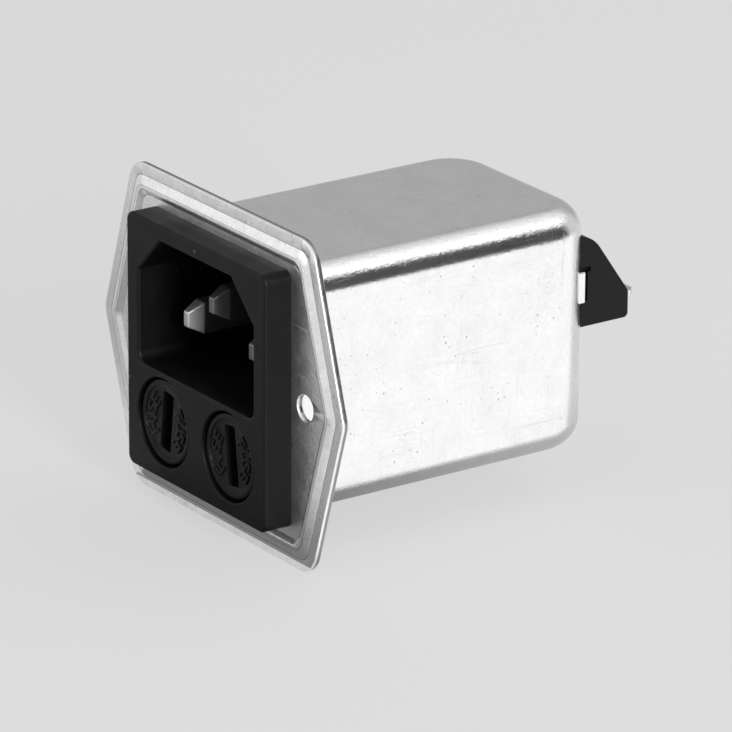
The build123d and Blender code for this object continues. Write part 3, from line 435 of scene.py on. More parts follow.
@dataclass(frozen=True)
class PlatedMetal:
    """A plated or bare metal skin: clouds, pits, scratches, what cutting and drawing leave, painted shade
    along pressed creases, and a rubbed tip with painted shade on the metal behind it.
    """

    light: Tone
    dark: Tone
    roughness: float
    roughness_swing: float
    cloud_scale: float = 450.0
    speck_scale: float = 2500.0
    speck_share: float = 0.1
    scratch: float = 0.5
    wave_mm: float = 0.01
    fine_scale: float = 3000.0
    fine_mm: float = 0.0
    sheared: float = 0.0
    strain_mm: float = 0.0
    # A rubbed tip that stays bright. Behind it the metal is painted darker, for unworn plating and as painted
    # shade that falls on it.
    worn_until: float | None = None
    pit: Stain = Stain(0.75, 0.3)
    hair: Stain = Stain(0.3, 0.6)
    torn_edge: Stain = Stain(1.0, 0.25)
    # Painted shade along the bead's creases, and its share of the dark tone.
    pressed_line: Stain = Stain(0.85, 0.2)
    unworn_tone: float = 0.4
    wear_fade: float = 0.2
    hair_roughness: float = 0.15
    mark_depth: float = 0.1
    peel_scale: float = 1500.0

    def shaded(self, share: float) -> Tone:
        """The dark tone at a share of its strength."""
        return tuple(part * share for part in self.dark)

    def marked(self, desk: NodeDesk, mask: Socket, under: Socket, stain: Stain) -> Socket:
        """Lay a mark over a colour.

        Args:
            desk: The material's desk.
            mask: Where the mark is.
            under: The colour under it.
            stain: The mark's strength and tone.

        Returns:
            The marked colour.
        """
        return desk.blend(desk.math("MULTIPLY", mask, stain.cover), under, self.shaded(stain.tone))

    def build(self, name: str) -> bpy.types.Material:
        """Make the material.

        Args:
            name: The material's name.

        Returns:
            The material.
        """
        material, desk, shader = new_material(name)
        shader.inputs["Metallic"].default_value = 1.0
        cloud = CLOUDS.place(desk, Scale=self.cloud_scale)["Value"]
        pits = SPECKS.place(desk, Scale=self.speck_scale, Share=self.speck_share)["Mask"]
        hairs = SCRATCHES.place(desk, Amount=self.scratch)["Mask"]
        colour = self.marked(desk, pits, desk.blend(cloud, self.dark, self.light), self.pit)
        colour = self.marked(desk, hairs, colour, self.hair)
        if self.sheared:
            colour = self.marked(desk, self.cut_edge(desk), colour, self.torn_edge)
            # Painted shade along the bead's creases, read from the mesh's crease layer.
            crease_shade_mask = desk.add("Attribute", attribute_name=CREASE)
            colour = self.marked(desk, crease_shade_mask.outputs["Fac"], colour, self.pressed_line)
        # Behind the rubbed tip the colour is painted darker. This is painted shade of the recess on the pin,
        # as well as unworn plating.
        if self.worn_until is not None:
            depth = desk.split(object_place(desk))["Y"]
            rubbed_lit_tip = desk.spread(depth, (self.worn_until - self.wear_fade) * MM, self.worn_until * MM, 1.0, 0.0)
            colour = desk.blend(rubbed_lit_tip, self.shaded(self.unworn_tone), colour)
        desk.join(colour, shader.inputs["Base Color"])
        swing = desk.spread(cloud, 0.0, 1.0, self.roughness + self.roughness_swing,
                            self.roughness - self.roughness_swing)
        rough = desk.math("ADD", swing, desk.math("MULTIPLY", hairs, self.hair_roughness), clamp=True)
        desk.join(rough, shader.inputs["Roughness"])
        add_bump(desk, self.relief(desk, pits, hairs), shader, 1.0)
        return material

    def relief(self, desk: NodeDesk, pits: Socket, hairs: Socket) -> Socket:
        """The skin's height: its waves and fine grain, less its marks.

        Args:
            desk: The material's desk.
            pits: Where the pits are.
            hairs: Where the scratches are.

        Returns:
            The height in millimetres.
        """
        place = object_place(desk)
        wave = desk.math("MULTIPLY", noise(desk, place, self.cloud_scale / 2, detail=2.0), self.wave_mm)
        fine = noise(desk, place, self.fine_scale, detail=3.0, roughness=0.6)
        fine = desk.math("MULTIPLY", fine, self.fine_mm)
        marks = desk.math("MULTIPLY", desk.math("MAXIMUM", hairs, pits), self.mark_depth * self.wave_mm)
        height = desk.math("SUBTRACT", desk.math("ADD", wave, fine), marks)
        if self.strain_mm:
            peel = noise(desk, place, self.peel_scale, detail=3.0, roughness=0.7)
            peel = desk.math("MULTIPLY", peel, self.strain_mm)
            height = desk.math("ADD", height, desk.math("MULTIPLY", peel, self.drawn_radii(desk)))
        return height

    def drawn_radii(self, desk: NodeDesk) -> Socket:
        """Where a drawn box is bent round its edges, which roughens its skin like orange peel.

        Args:
            desk: The material's desk.

        Returns:
            The mask.
        """
        bent_from, flat_from = 0.90, 0.985
        normal = desk.split(desk.add("NewGeometry").outputs["True Normal"])
        x, y, z = (desk.math("ABSOLUTE", normal[axis]) for axis in "XYZ")
        flattest = desk.math("MAXIMUM", desk.math("MAXIMUM", x, y), z)
        return desk.spread(flattest, bent_from, flat_from, 1.0, 0.0)

    def cut_edge(self, desk: NodeDesk) -> Socket:
        """Where a sheared edge is dull: away from its burnished front, on a sheet in the front view.

        Args:
            desk: The material's desk.

        Returns:
            The mask.
        """
        burnished_until, torn_from = -0.62, -0.40
        edge_until, face_from = 0.2, 0.6
        normal = desk.split(desk.add("NewGeometry").outputs["True Normal"])
        facing = desk.math("ABSOLUTE", normal["Y"])
        torn = desk.spread(desk.split(object_place(desk))["Y"], burnished_until * MM, torn_from * MM)
        return desk.math("MULTIPLY", desk.spread(facing, edge_until, face_from, self.sheared, 0.0), torn)


@dataclass(frozen=True)
class MouldedPlastic:
    """A moulded thermoplastic, or a coat that looks like one."""

    colour: Tone
    dust: Tone
    roughness: float
    grain_scale: float
    grain_mm: float
    dust_share: float = 0.02
    shine: float = 0.5
    mote_scale: float = 900.0
    mote_cover: float = 0.5
    patch_tone: float = 0.82
    roughness_swing: float = 0.05

    def build(self, name: str) -> bpy.types.Material:
        """Make the material.

        Args:
            name: The material's name.

        Returns:
            The material.
        """
        material, desk, shader = new_material(name)
        grain = GRAIN.place(desk, Scale=self.grain_scale)
        motes = SPECKS.place(desk, Scale=self.mote_scale, Share=self.dust_share)["Mask"]
        shade = desk.blend(grain["Patch"], tuple(part * self.patch_tone for part in self.colour), self.colour)
        dusty = desk.blend(desk.math("MULTIPLY", motes, self.mote_cover), shade, self.dust)
        desk.join(dusty, shader.inputs["Base Color"])
        rough = desk.spread(grain["Patch"], 0.0, 1.0, self.roughness - self.roughness_swing,
                            self.roughness + self.roughness_swing)
        desk.join(rough, shader.inputs["Roughness"])
        shader.inputs["Specular IOR Level"].default_value = self.shine
        add_bump(desk, grain["Height"], shader, self.grain_mm)
        return material


@dataclass(frozen=True)
class ClearGlass:
    """The fuse's glass tube."""

    tint: Tone
    refraction: float = 1.5
    smear_scale: float = 300.0
    least_roughness: float = 0.02
    most_roughness: float = 0.09

    def build(self, name: str) -> bpy.types.Material:
        """Make the material.

        Args:
            name: The material's name.

        Returns:
            The material.
        """
        material, desk, shader = new_material(name)
        shader.inputs["Base Color"].default_value = (*self.tint, 1.0)
        shader.inputs["Transmission Weight"].default_value = 1.0
        shader.inputs["IOR"].default_value = self.refraction
        smear = CLOUDS.place(desk, Scale=self.smear_scale)["Value"]
        rough = desk.spread(smear, 0.0, 1.0, self.least_roughness, self.most_roughness)
        desk.join(rough, shader.inputs["Roughness"])
        return material


class Finish(Enum):
    """Every finish, by the record's material slot, and a darker copy of plated_pin that paints the recess's
    shade on two of the plated pins.
    """

    plated_flange = PlatedMetal((0.94, 0.94, 0.935), (0.74, 0.74, 0.74), 0.35, 0.07, cloud_scale=620,
                                speck_scale=1400, speck_share=0.40, scratch=0.8, wave_mm=0.02,
                                fine_scale=2200, fine_mm=0.034, sheared=0.9)
    plated_can = PlatedMetal((0.89, 0.89, 0.885), (0.80, 0.80, 0.80), 0.19, 0.03, cloud_scale=210,
                             speck_scale=1250, speck_share=0.30, scratch=0.8, wave_mm=0.012,
                             fine_scale=2600, fine_mm=0.020, strain_mm=0.05)
    rivet_steel = PlatedMetal((0.66, 0.66, 0.65), (0.5, 0.5, 0.5), 0.35, 0.08, cloud_scale=500)
    contact_brass = PlatedMetal((0.80, 0.62, 0.30), (0.62, 0.45, 0.19), 0.3, 0.07, cloud_scale=400)
    tinned_brass = PlatedMetal((0.74, 0.73, 0.70), (0.58, 0.57, 0.54), 0.32, 0.08, scratch=0.6)
    tinned_tab = PlatedMetal((0.78, 0.77, 0.75), (0.62, 0.61, 0.59), 0.28, 0.08, scratch=0.8)
    # The line pin's tip stays bright, and the shaft behind it gets painted shade of the recess.
    plated_pin = PlatedMetal((0.66, 0.655, 0.65), (0.52, 0.515, 0.51), 0.46, 0.05, scratch=0.8,
                             wave_mm=0.008, worn_until=0.95)
    # A darker copy of plated_pin: painted shade of the recess on the neutral and earth pins.
    dulled_pin = PlatedMetal((0.20, 0.195, 0.19), (0.13, 0.127, 0.124), 0.44, 0.05, scratch=0.8,
                             wave_mm=0.008)
    clip_bronze = PlatedMetal((0.76, 0.55, 0.28), (0.55, 0.38, 0.17), 0.3, 0.07, wave_mm=0.008)
    fuse_wire = PlatedMetal((0.7, 0.7, 0.69), (0.55, 0.55, 0.54), 0.3, 0.05, cloud_scale=900,
                            speck_scale=4000, scratch=0.2, wave_mm=0.004)
    ferrule_nickel = PlatedMetal((0.80, 0.79, 0.77), (0.68, 0.67, 0.65), 0.18, 0.05, speck_share=0.08,
                                 scratch=0.7, wave_mm=0.006)
    enamelled_copper = PlatedMetal((0.62, 0.22, 0.08), (0.45, 0.13, 0.04), 0.25, 0.05, cloud_scale=900,
                                   speck_scale=4000, speck_share=0.05, scratch=0.1, wave_mm=0.004)
    black_moulding = MouldedPlastic((0.002, 0.002, 0.0021), (0.30, 0.30, 0.30), 0.48, 6000, 0.010,
                                    dust_share=0.05, shine=0.19)
    cap_moulding = MouldedPlastic((0.003, 0.003, 0.0032), (0.16, 0.16, 0.16), 0.44, 6000, 0.008, shine=0.19)
    block_moulding = MouldedPlastic((0.004, 0.004, 0.0042), (0.16, 0.16, 0.16), 0.45, 5000, 0.008, shine=0.17)
    choke_plastic = MouldedPlastic((0.03, 0.03, 0.03), (0.1, 0.1, 0.1), 0.5, 5000, 0.01)
    board_laminate = MouldedPlastic((0.045, 0.17, 0.065), (0.2, 0.3, 0.2), 0.35, 7000, 0.006)
    ferrite = MouldedPlastic((0.06, 0.06, 0.065), (0.1, 0.1, 0.1), 0.6, 9000, 0.02)
    film_capacitor = MouldedPlastic((0.70, 0.44, 0.04), (0.7, 0.6, 0.3), 0.3, 4000, 0.004)
    resistor_coat = MouldedPlastic((0.52, 0.38, 0.20), (0.6, 0.5, 0.4), 0.3, 4000, 0.004)
    ceramic_coat = MouldedPlastic((0.03, 0.14, 0.42), (0.2, 0.3, 0.5), 0.3, 4000, 0.006)
    liner_film = MouldedPlastic((0.62, 0.60, 0.50), (0.7, 0.7, 0.6), 0.5, 3000, 0.01)
    fuse_glass = ClearGlass((0.97, 0.99, 0.98))


class Paints:
    """Builds each finish once."""

    def __init__(self) -> None:
        """Start with none built."""
        self.made: dict[str, bpy.types.Material] = {}

    def get(self, slot: str) -> bpy.types.Material:
        """The material of a slot.

        Args:
            slot: The finish's name.

        Returns:
            The material.
        """
        if slot not in self.made:
            self.made[slot] = Finish[slot].value.build(slot)
        return self.made[slot]


# ---------------------------------------------------------------- mesh building blocks
class Corner(NamedTuple):
    """A corner of an outline in the front view, and how far along its sides its rounding starts."""

    x: float
    z: float
    reach: float


def round_off(bm: bmesh.types.BMesh, geometry: list[bmesh.types.BMVert] | Edges, reach: float, segments: int,
              affect: str = "EDGES", clamp: bool = False) -> None:
    """Bevel edges or corners to a round.

    Args:
        bm: The mesh.
        geometry: The edges or vertices.
        reach: How far from them the rounding starts.
        segments: Steps in the rounding.
        affect: EDGES or VERTICES.
        clamp: Whether roundings stop where they meet.
    """
    bmesh.ops.bevel(bm, geom=geometry, offset=reach, segments=segments, profile=0.5, affect=affect,
                    material=-1, clamp_overlap=clamp)


def outline(bm: bmesh.types.BMesh, corners: Sequence[Corner], y: float, segments: int = 8) -> Edges:
    """A closed outline in the front view, with each corner rounded.

    Args:
        bm: The mesh to add to.
        corners: The corners, counter-clockwise.
        y: The depth.
        segments: Steps in each rounding.

    Returns:
        The outline's edges.
    """
    known = set(bm.edges)
    verts = [bm.verts.new((corner.x, y, corner.z)) for corner in corners]
    bm.faces.new(verts)
    for reach in sorted({corner.reach for corner in corners if corner.reach > 0}):
        chosen = [vert for vert, corner in zip(verts, corners) if corner.reach == reach]
        round_off(bm, chosen, reach, segments, affect="VERTICES")
    edges = [edge for edge in bm.edges if edge not in known]
    faces = list({face for edge in edges for face in edge.link_faces})
    bmesh.ops.delete(bm, geom=faces, context="FACES_ONLY")
    return edges


def circle(bm: bmesh.types.BMesh, x: float, z: float, y: float, radius: float, segments: int) -> Edges:
    """A ring in the front view.

    Args:
        bm: The mesh to add to.
        x: The centre's x.
        z: The centre's z.
        y: The depth.
        radius: The radius.
        segments: Number of sides.

    Returns:
        The ring's edges.
    """
    place = Matrix.Translation((x, y, z)) @ Matrix.Rotation(math.radians(90), 4, "X")
    made = bmesh.ops.create_circle(bm, cap_ends=False, radius=radius, segments=segments, matrix=place)
    return list({edge for vert in made["verts"] for edge in vert.link_edges})


def rectangle(width: float, height: float, reach: float) -> list[Corner]:
    """Corners of a rectangle round the origin, counter-clockwise.

    Args:
        width: Size along X.
        height: Size along Z.
        reach: The corner radius.

    Returns:
        The corners.
    """
    return [Corner(a * width / 2, b * height / 2, reach) for a, b in ((1, 1), (-1, 1), (-1, -1), (1, -1))]


def carry(bm: bmesh.types.BMesh, edges: Edges, move: Move) -> Edges:
    """Extrude open edges into faces.

    Args:
        bm: The mesh.
        edges: The edges to extrude.
        move: Gives each new vertex its place from the old one.

    Returns:
        The new open edges.
    """
    made = bmesh.ops.extrude_edge_only(bm, edges=edges)["geom"]
    verts = {item for item in made if isinstance(item, bmesh.types.BMVert)}
    for vert in verts:
        vert.co = move(vert.co)
    drawn = [item for item in made if isinstance(item, bmesh.types.BMEdge)]
    return [edge for edge in drawn if all(vert in verts for vert in edge.verts)]


@dataclass(frozen=True)
class RoundedForm:
    """A rounded rectangle round the origin of the front view, which can be grown evenly."""

    width: float
    height: float
    radius: float

    def step(self, grow: float, y: float) -> Move:
        """How a vertex on the form moves.

        Args:
            grow: How far it moves out from the form.
            y: The depth that it moves to.

        Returns:
            A function from the old place to the new one.
        """
        reach_x, reach_z = self.width / 2 - self.radius, self.height / 2 - self.radius

        def move(place: Vector) -> Vector:
            """The grown place of one vertex.

            Args:
                place: Its place.

            Returns:
                Its new place.
            """
            middle = Vector((max(-reach_x, min(reach_x, place.x)), 0, max(-reach_z, min(reach_z, place.z))))
            out = Vector((place.x - middle.x, 0, place.z - middle.z)).normalized()
            return middle + out * (self.radius + grow) + Vector((0, y, 0))

        return move


def bridge(bm: bmesh.types.BMesh, rings: Sequence[Edges]) -> None:
    """Skin between each ring and the next."""
    for near, far in zip(rings, rings[1:]):
        bmesh.ops.bridge_loops(bm, edges=near + far)


def fill(bm: bmesh.types.BMesh, edges: Edges) -> None:
    """Fill between outlines that lie in one plane, leaving the inner ones open."""
    bmesh.ops.triangle_fill(bm, use_beauty=True, use_dissolve=False, edges=edges)


def soften(bm: bmesh.types.BMesh, radius: float, least_turn: float, segments: int = 2) -> None:
    """Round the sharp edges.

    Args:
        bm: The mesh.
        radius: The rounding's size.
        least_turn: Edges that turn more than this many degrees are rounded.
        segments: Steps in the rounding.
    """
    limit = math.radians(least_turn)
    sharp = [edge for edge in bm.edges if len(edge.link_faces) == 2 and edge.calc_face_angle(0) > limit]
    round_off(bm, sharp, radius, segments, clamp=True)


def add_block(bm: bmesh.types.BMesh, low: Sequence[float], high: Sequence[float]) -> Edges:
    """A box between two corners.

    Args:
        bm: The mesh to add to.
        low: The lowest corner.
        high: The highest corner.

    Returns:
        Its edges.
    """
    known = set(bm.edges)
    size = Vector(high) - Vector(low)
    place = Matrix.Translation((Vector(high) + Vector(low)) / 2) @ Matrix.Diagonal((*size, 1.0))
    bmesh.ops.create_cube(bm, size=1.0, matrix=place)
    return [edge for edge in bm.edges if edge not in known]


def made_mesh(name: str, bm: bmesh.types.BMesh, material: bpy.types.Material) -> bpy.types.Mesh:
    """Turn a bmesh into a mesh.

    Args:
        name: The mesh's name.
        bm: The bmesh, which is freed.
        material: Its one material.

    Returns:
        The mesh.
    """
    mesh = bpy.data.meshes.new(name)
    bm.to_mesh(mesh)
    bm.free()
    mesh.materials.append(material)
    return mesh


def shown(name: str, data: bpy.types.ID) -> bpy.types.Object:
    """Put data in the scene.

    Args:
        name: The object's name.
        data: A mesh, curve, lamp or camera.

    Returns:
        The object.
    """
    holder = bpy.data.objects.new(name, data)
    bpy.context.scene.collection.objects.link(holder)
    return holder


def finished(name: str, bm: bmesh.types.BMesh, material: bpy.types.Material,
             crease: float) -> bpy.types.Object:
    """Turn a bmesh in millimetres into an object in metres, with its faces outwards.

    Args:
        name: The piece's name.
        bm: The mesh, which is freed.
        material: Its finish.
        crease: Edges that turn more than this many degrees stay sharp.

    Returns:
        The object.
    """
    bmesh.ops.remove_doubles(bm, verts=bm.verts, dist=WELD)
    bmesh.ops.recalc_face_normals(bm, faces=bm.faces)
    bmesh.ops.scale(bm, vec=(MM, MM, MM), verts=bm.verts)
    mesh = made_mesh(name, bm, material)
    mesh.shade_smooth()
    mesh.set_sharp_from_angle(angle=math.radians(crease))
    piece = shown(name, mesh)
    weight = piece.modifiers.new("even_shading", "WEIGHTED_NORMAL")
    weight.keep_sharp = True
    return piece


def settle(piece: bpy.types.Object, body: str, nodes: Sequence[str] = ()) -> None:
    """Give a piece its body and the nodes that it stands for.

    Args:
        piece: The finished object.
        body: The body it rides on.
        nodes: CAD nodes that it replaces.
    """
    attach(piece, body)
    if nodes:
        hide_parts(*nodes)
    LOG.info("%s: %d faces on %s", piece.name, len(piece.data.polygons), body)


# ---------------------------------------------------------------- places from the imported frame
def box_mm(node: str) -> tuple[Vector, Vector]:
    """A solid's lowest and highest corner at rest, in millimetres."""
    low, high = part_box(node)
    return low / MM, high / MM


def axis_mm(frame: dict, joint: str) -> Vector:
    """Where a turning joint's axis passes.

    Args:
        joint: The joint's name.

    Returns:
        The point, in millimetres.
    """
    found = [entry for entry in frame["record"]["behaviour"]["joints"] if entry["name"] == joint]
    return Vector(found[0]["pos_m"]) / MM


def mount_sizes(frame: dict, mount: str) -> dict[str, float]:
    """A mount's sizes.

    Args:
        mount: The mount's name.

    Returns:
        The record's sizes, by name.
    """
    return [entry for entry in frame["record"]["mounts"] if entry["name"] == mount][0]["dims"]


# ---------------------------------------------------------------- sub-assemblies
class BeadRing(NamedTuple):
    """One line round the flange's bead: its inset from the edge, its height and how much painted shade its
    crease gets.
    """

    inset: float
    height: float
    mark: float = 0.0


@dataclass
class PressedFlange:
    """The pressed front plate with its bead, ear holes and opening."""

    hole_spacing: float
    hole_radius: float
    half_height: float = 20.7
    end_half_width: float = 19.2
    ear_half_width: float = 25.7
    thickness: float = 0.8
    corner_radius: float = 3.2
    ear_radius: float = 2.2
    bead_corner_radius: float = 2.0
    bead_loss: float = 0.6
    opening_width: float = 28.2
    opening_height: float = 29.9
    opening_radius: float = 3.1
    hole_steps: int = 48
    edge_round: float = 0.14
    # A ring's third value is the painted shade that its crease gets.
    bead: tuple[BeadRing, ...] = (
        BeadRing(1.34, 0.0), BeadRing(1.41, -0.03, 1.0), BeadRing(1.48, 0.0), BeadRing(1.56, 0.06),
        BeadRing(2.44, 0.43), BeadRing(2.50, 0.425, 0.55), BeadRing(2.56, 0.46, 0.7), BeadRing(2.64, 0.5),
        BeadRing(2.90, 0.5), BeadRing(2.98, 0.47), BeadRing(3.04, 0.46, 0.7), BeadRing(3.10, 0.42),
        BeadRing(3.50, 0.08), BeadRing(3.58, 0.0), BeadRing(3.65, -0.03, 1.0), BeadRing(3.72, 0.0))

    def corners(self, inset: float, radius: float, ear: float) -> list[Corner]:
        """The plate's outline moved inward.

        Args:
            inset: How far inward.
            radius: Radius of the four end corners.
            ear: Radius of the two ear corners.

        Returns:
            The corners, counter-clockwise.
        """
        flare = self.ear_half_width - self.end_half_width
        lean = math.atan2(flare, self.half_height)
        half_height = self.half_height - inset
        ear_x = self.ear_half_width - inset / math.cos(lean)
        end_x = ear_x - flare * half_height / self.half_height
        end_reach = radius * math.tan(math.radians(45) - lean / 2)
        ear_reach = ear * math.tan(lean)
        return [Corner(end_x, half_height, end_reach), Corner(-end_x, half_height, end_reach),
                Corner(-ear_x, 0.0, ear_reach), Corner(-end_x, -half_height, end_reach),
                Corner(end_x, -half_height, end_reach), Corner(ear_x, 0.0, ear_reach)]

    def skin(self, bm: bmesh.types.BMesh, level: float, bead: Sequence[BeadRing]) -> list[Edges]:
        """One side of the plate, from its outline over the bead to the opening and the holes.

        Args:
            bm: The mesh to add to, which has the crease layer.
            level: The side's depth where it is flat.
            bead: The rings of the bead.

        Returns:
            The open outlines: the plate's, the opening's and the holes'.
        """
        line = bm.verts.layers.float[CREASE]
        rings = [outline(bm, self.corners(0.0, self.corner_radius, self.ear_radius), level)]
        for ring in bead:
            loss = self.bead_loss * (ring.inset / bead[-1].inset)
            corners = self.corners(ring.inset, self.bead_corner_radius - loss, self.ear_radius - loss)
            rings.append(outline(bm, corners, level - ring.height))
            # Each ring's vertices carry how much painted shade its crease gets.
            for vert in {vert for edge in rings[-1] for vert in edge.verts}:
                vert[line] = ring.mark
        bridge(bm, rings)
        cuts = [outline(bm, rectangle(self.opening_width, self.opening_height, self.opening_radius), level)]
        for side in Side:
            x = side.value * self.hole_spacing / 2
            cuts.append(circle(bm, x, 0.0, level, self.hole_radius, self.hole_steps))
        fill(bm, rings[-1] + [edge for cut in cuts for edge in cut])
        return [rings[0], *cuts]

    def build(self, paints: Paints) -> None:
        """Make the plate's two sides, join them at every edge and dress the plate.

        Args:
            paints: The finishes.
        """
        bm = bmesh.new()
        bm.verts.layers.float.new(CREASE)
        rear_bead = [BeadRing(ring.inset, 0.0) if ring.height < 0 else ring for ring in self.bead]
        for pair in zip(self.skin(bm, -self.thickness, self.bead), self.skin(bm, 0.0, rear_bead)):
            bridge(bm, pair)
        bmesh.ops.recalc_face_normals(bm, faces=bm.faces)
        soften(bm, self.edge_round, least_turn=60)
        piece = finished("flange_plate", bm, paints.get("plated_flange"), crease=50)
        settle(piece, Body.MODULE.value, ["mounting_flange"])


@dataclass
class DrawnCan:
    """The deep-drawn metal can with its lip and the two tongues beside the terminal block."""

    length: float
    width: float = 29.2
    height: float = 30.9
    wall: float = 0.5
    edge_radius: float = 3.6
    edge_steps: int = 12
    corner_radius: float = 7.0
    corner_steps: int = 18
    lip: float = 1.2
    lip_bend: float = 0.35
    bend_steps: int = 6
    tongue_x: float = 12.25
    tongue_rise: float = 4.8
    tongue_height: float = 4.0
    tongue_setback: float = 1.3
    tongue_round: float = 0.15

    def shell(self, bm: bmesh.types.BMesh) -> Edges:
        """The drawn cup: rear corners first, then the edges round the top and bottom.

        Args:
            bm: The mesh to add to.

        Returns:
            The open edges at the front.
        """
        half_w, half_h = self.width / 2, self.height / 2
        front = self.wall + self.lip_bend
        add_block(bm, (-half_w, front, -half_h), (half_w, self.length, half_h))
        upright = [e for e in bm.edges if all(v.co.y > self.length - NEAR for v in e.verts)
                   and abs(e.verts[0].co.z - e.verts[1].co.z) > 1]
        round_off(bm, upright, self.corner_radius, self.corner_steps)
        rims = [e for e in bm.edges if abs(sum(v.co.z for v in e.verts)) > self.height - NEAR
                and sum(v.co.y for v in e.verts) > 2 * front + NEAR]
        round_off(bm, rims, self.edge_radius, self.edge_steps)
        mouth = [f for f in bm.faces if all(v.co.y < front + NEAR for v in f.verts)]
        bmesh.ops.delete(bm, geom=mouth, context="FACES")
        return [e for e in bm.edges if e.is_boundary]

    def flare(self, bm: bmesh.types.BMesh, edges: Edges) -> None:
        """Turn out the lip that is welded behind the flange, and give the cup its wall.

        Args:
            bm: The mesh.
            edges: The shell's open edges.
        """
        form = RoundedForm(self.width, self.height, self.edge_radius)
        for index in range(1, self.bend_steps + 1):
            turn = math.radians(90 * index / self.bend_steps)
            grow = self.lip_bend * (1 - math.cos(turn))
            edges = carry(bm, edges, form.step(grow, self.wall + self.lip_bend * (1 - math.sin(turn))))
        carry(bm, edges, form.step(self.lip, self.wall))
        bmesh.ops.recalc_face_normals(bm, faces=bm.faces)
        if max(bm.faces, key=lambda f: f.calc_center_median().x * f.normal.x ** 2).normal.x < 0:
            bmesh.ops.reverse_faces(bm, faces=bm.faces)
        bmesh.ops.solidify(bm, geom=bm.faces[:] + bm.edges[:] + bm.verts[:], thickness=self.wall)

    def tongues(self, bm: bmesh.types.BMesh) -> None:
        """The metal tongues that stand out of the rear corners.

        Args:
            bm: The mesh to add to.
        """
        start = self.length - self.corner_radius
        end = self.length - self.tongue_setback
        low = self.tongue_rise - self.tongue_height / 2
        for side in Side:
            near, far = sorted((side.value * self.tongue_x, side.value * (self.tongue_x + self.wall)))
            edges = add_block(bm, (near, start, low), (far, end, low + self.tongue_height))
            round_off(bm, edges, self.tongue_round, 3)

    def build(self, paints: Paints) -> None:
        """Make the can and dress it.

        Args:
            paints: The finishes.
        """
        bm = bmesh.new()
        self.flare(bm, self.shell(bm))
        self.tongues(bm)
        piece = finished("drawn_can", bm, paints.get("plated_can"), crease=35)
        settle(piece, Body.MODULE.value, ["shield_can"])


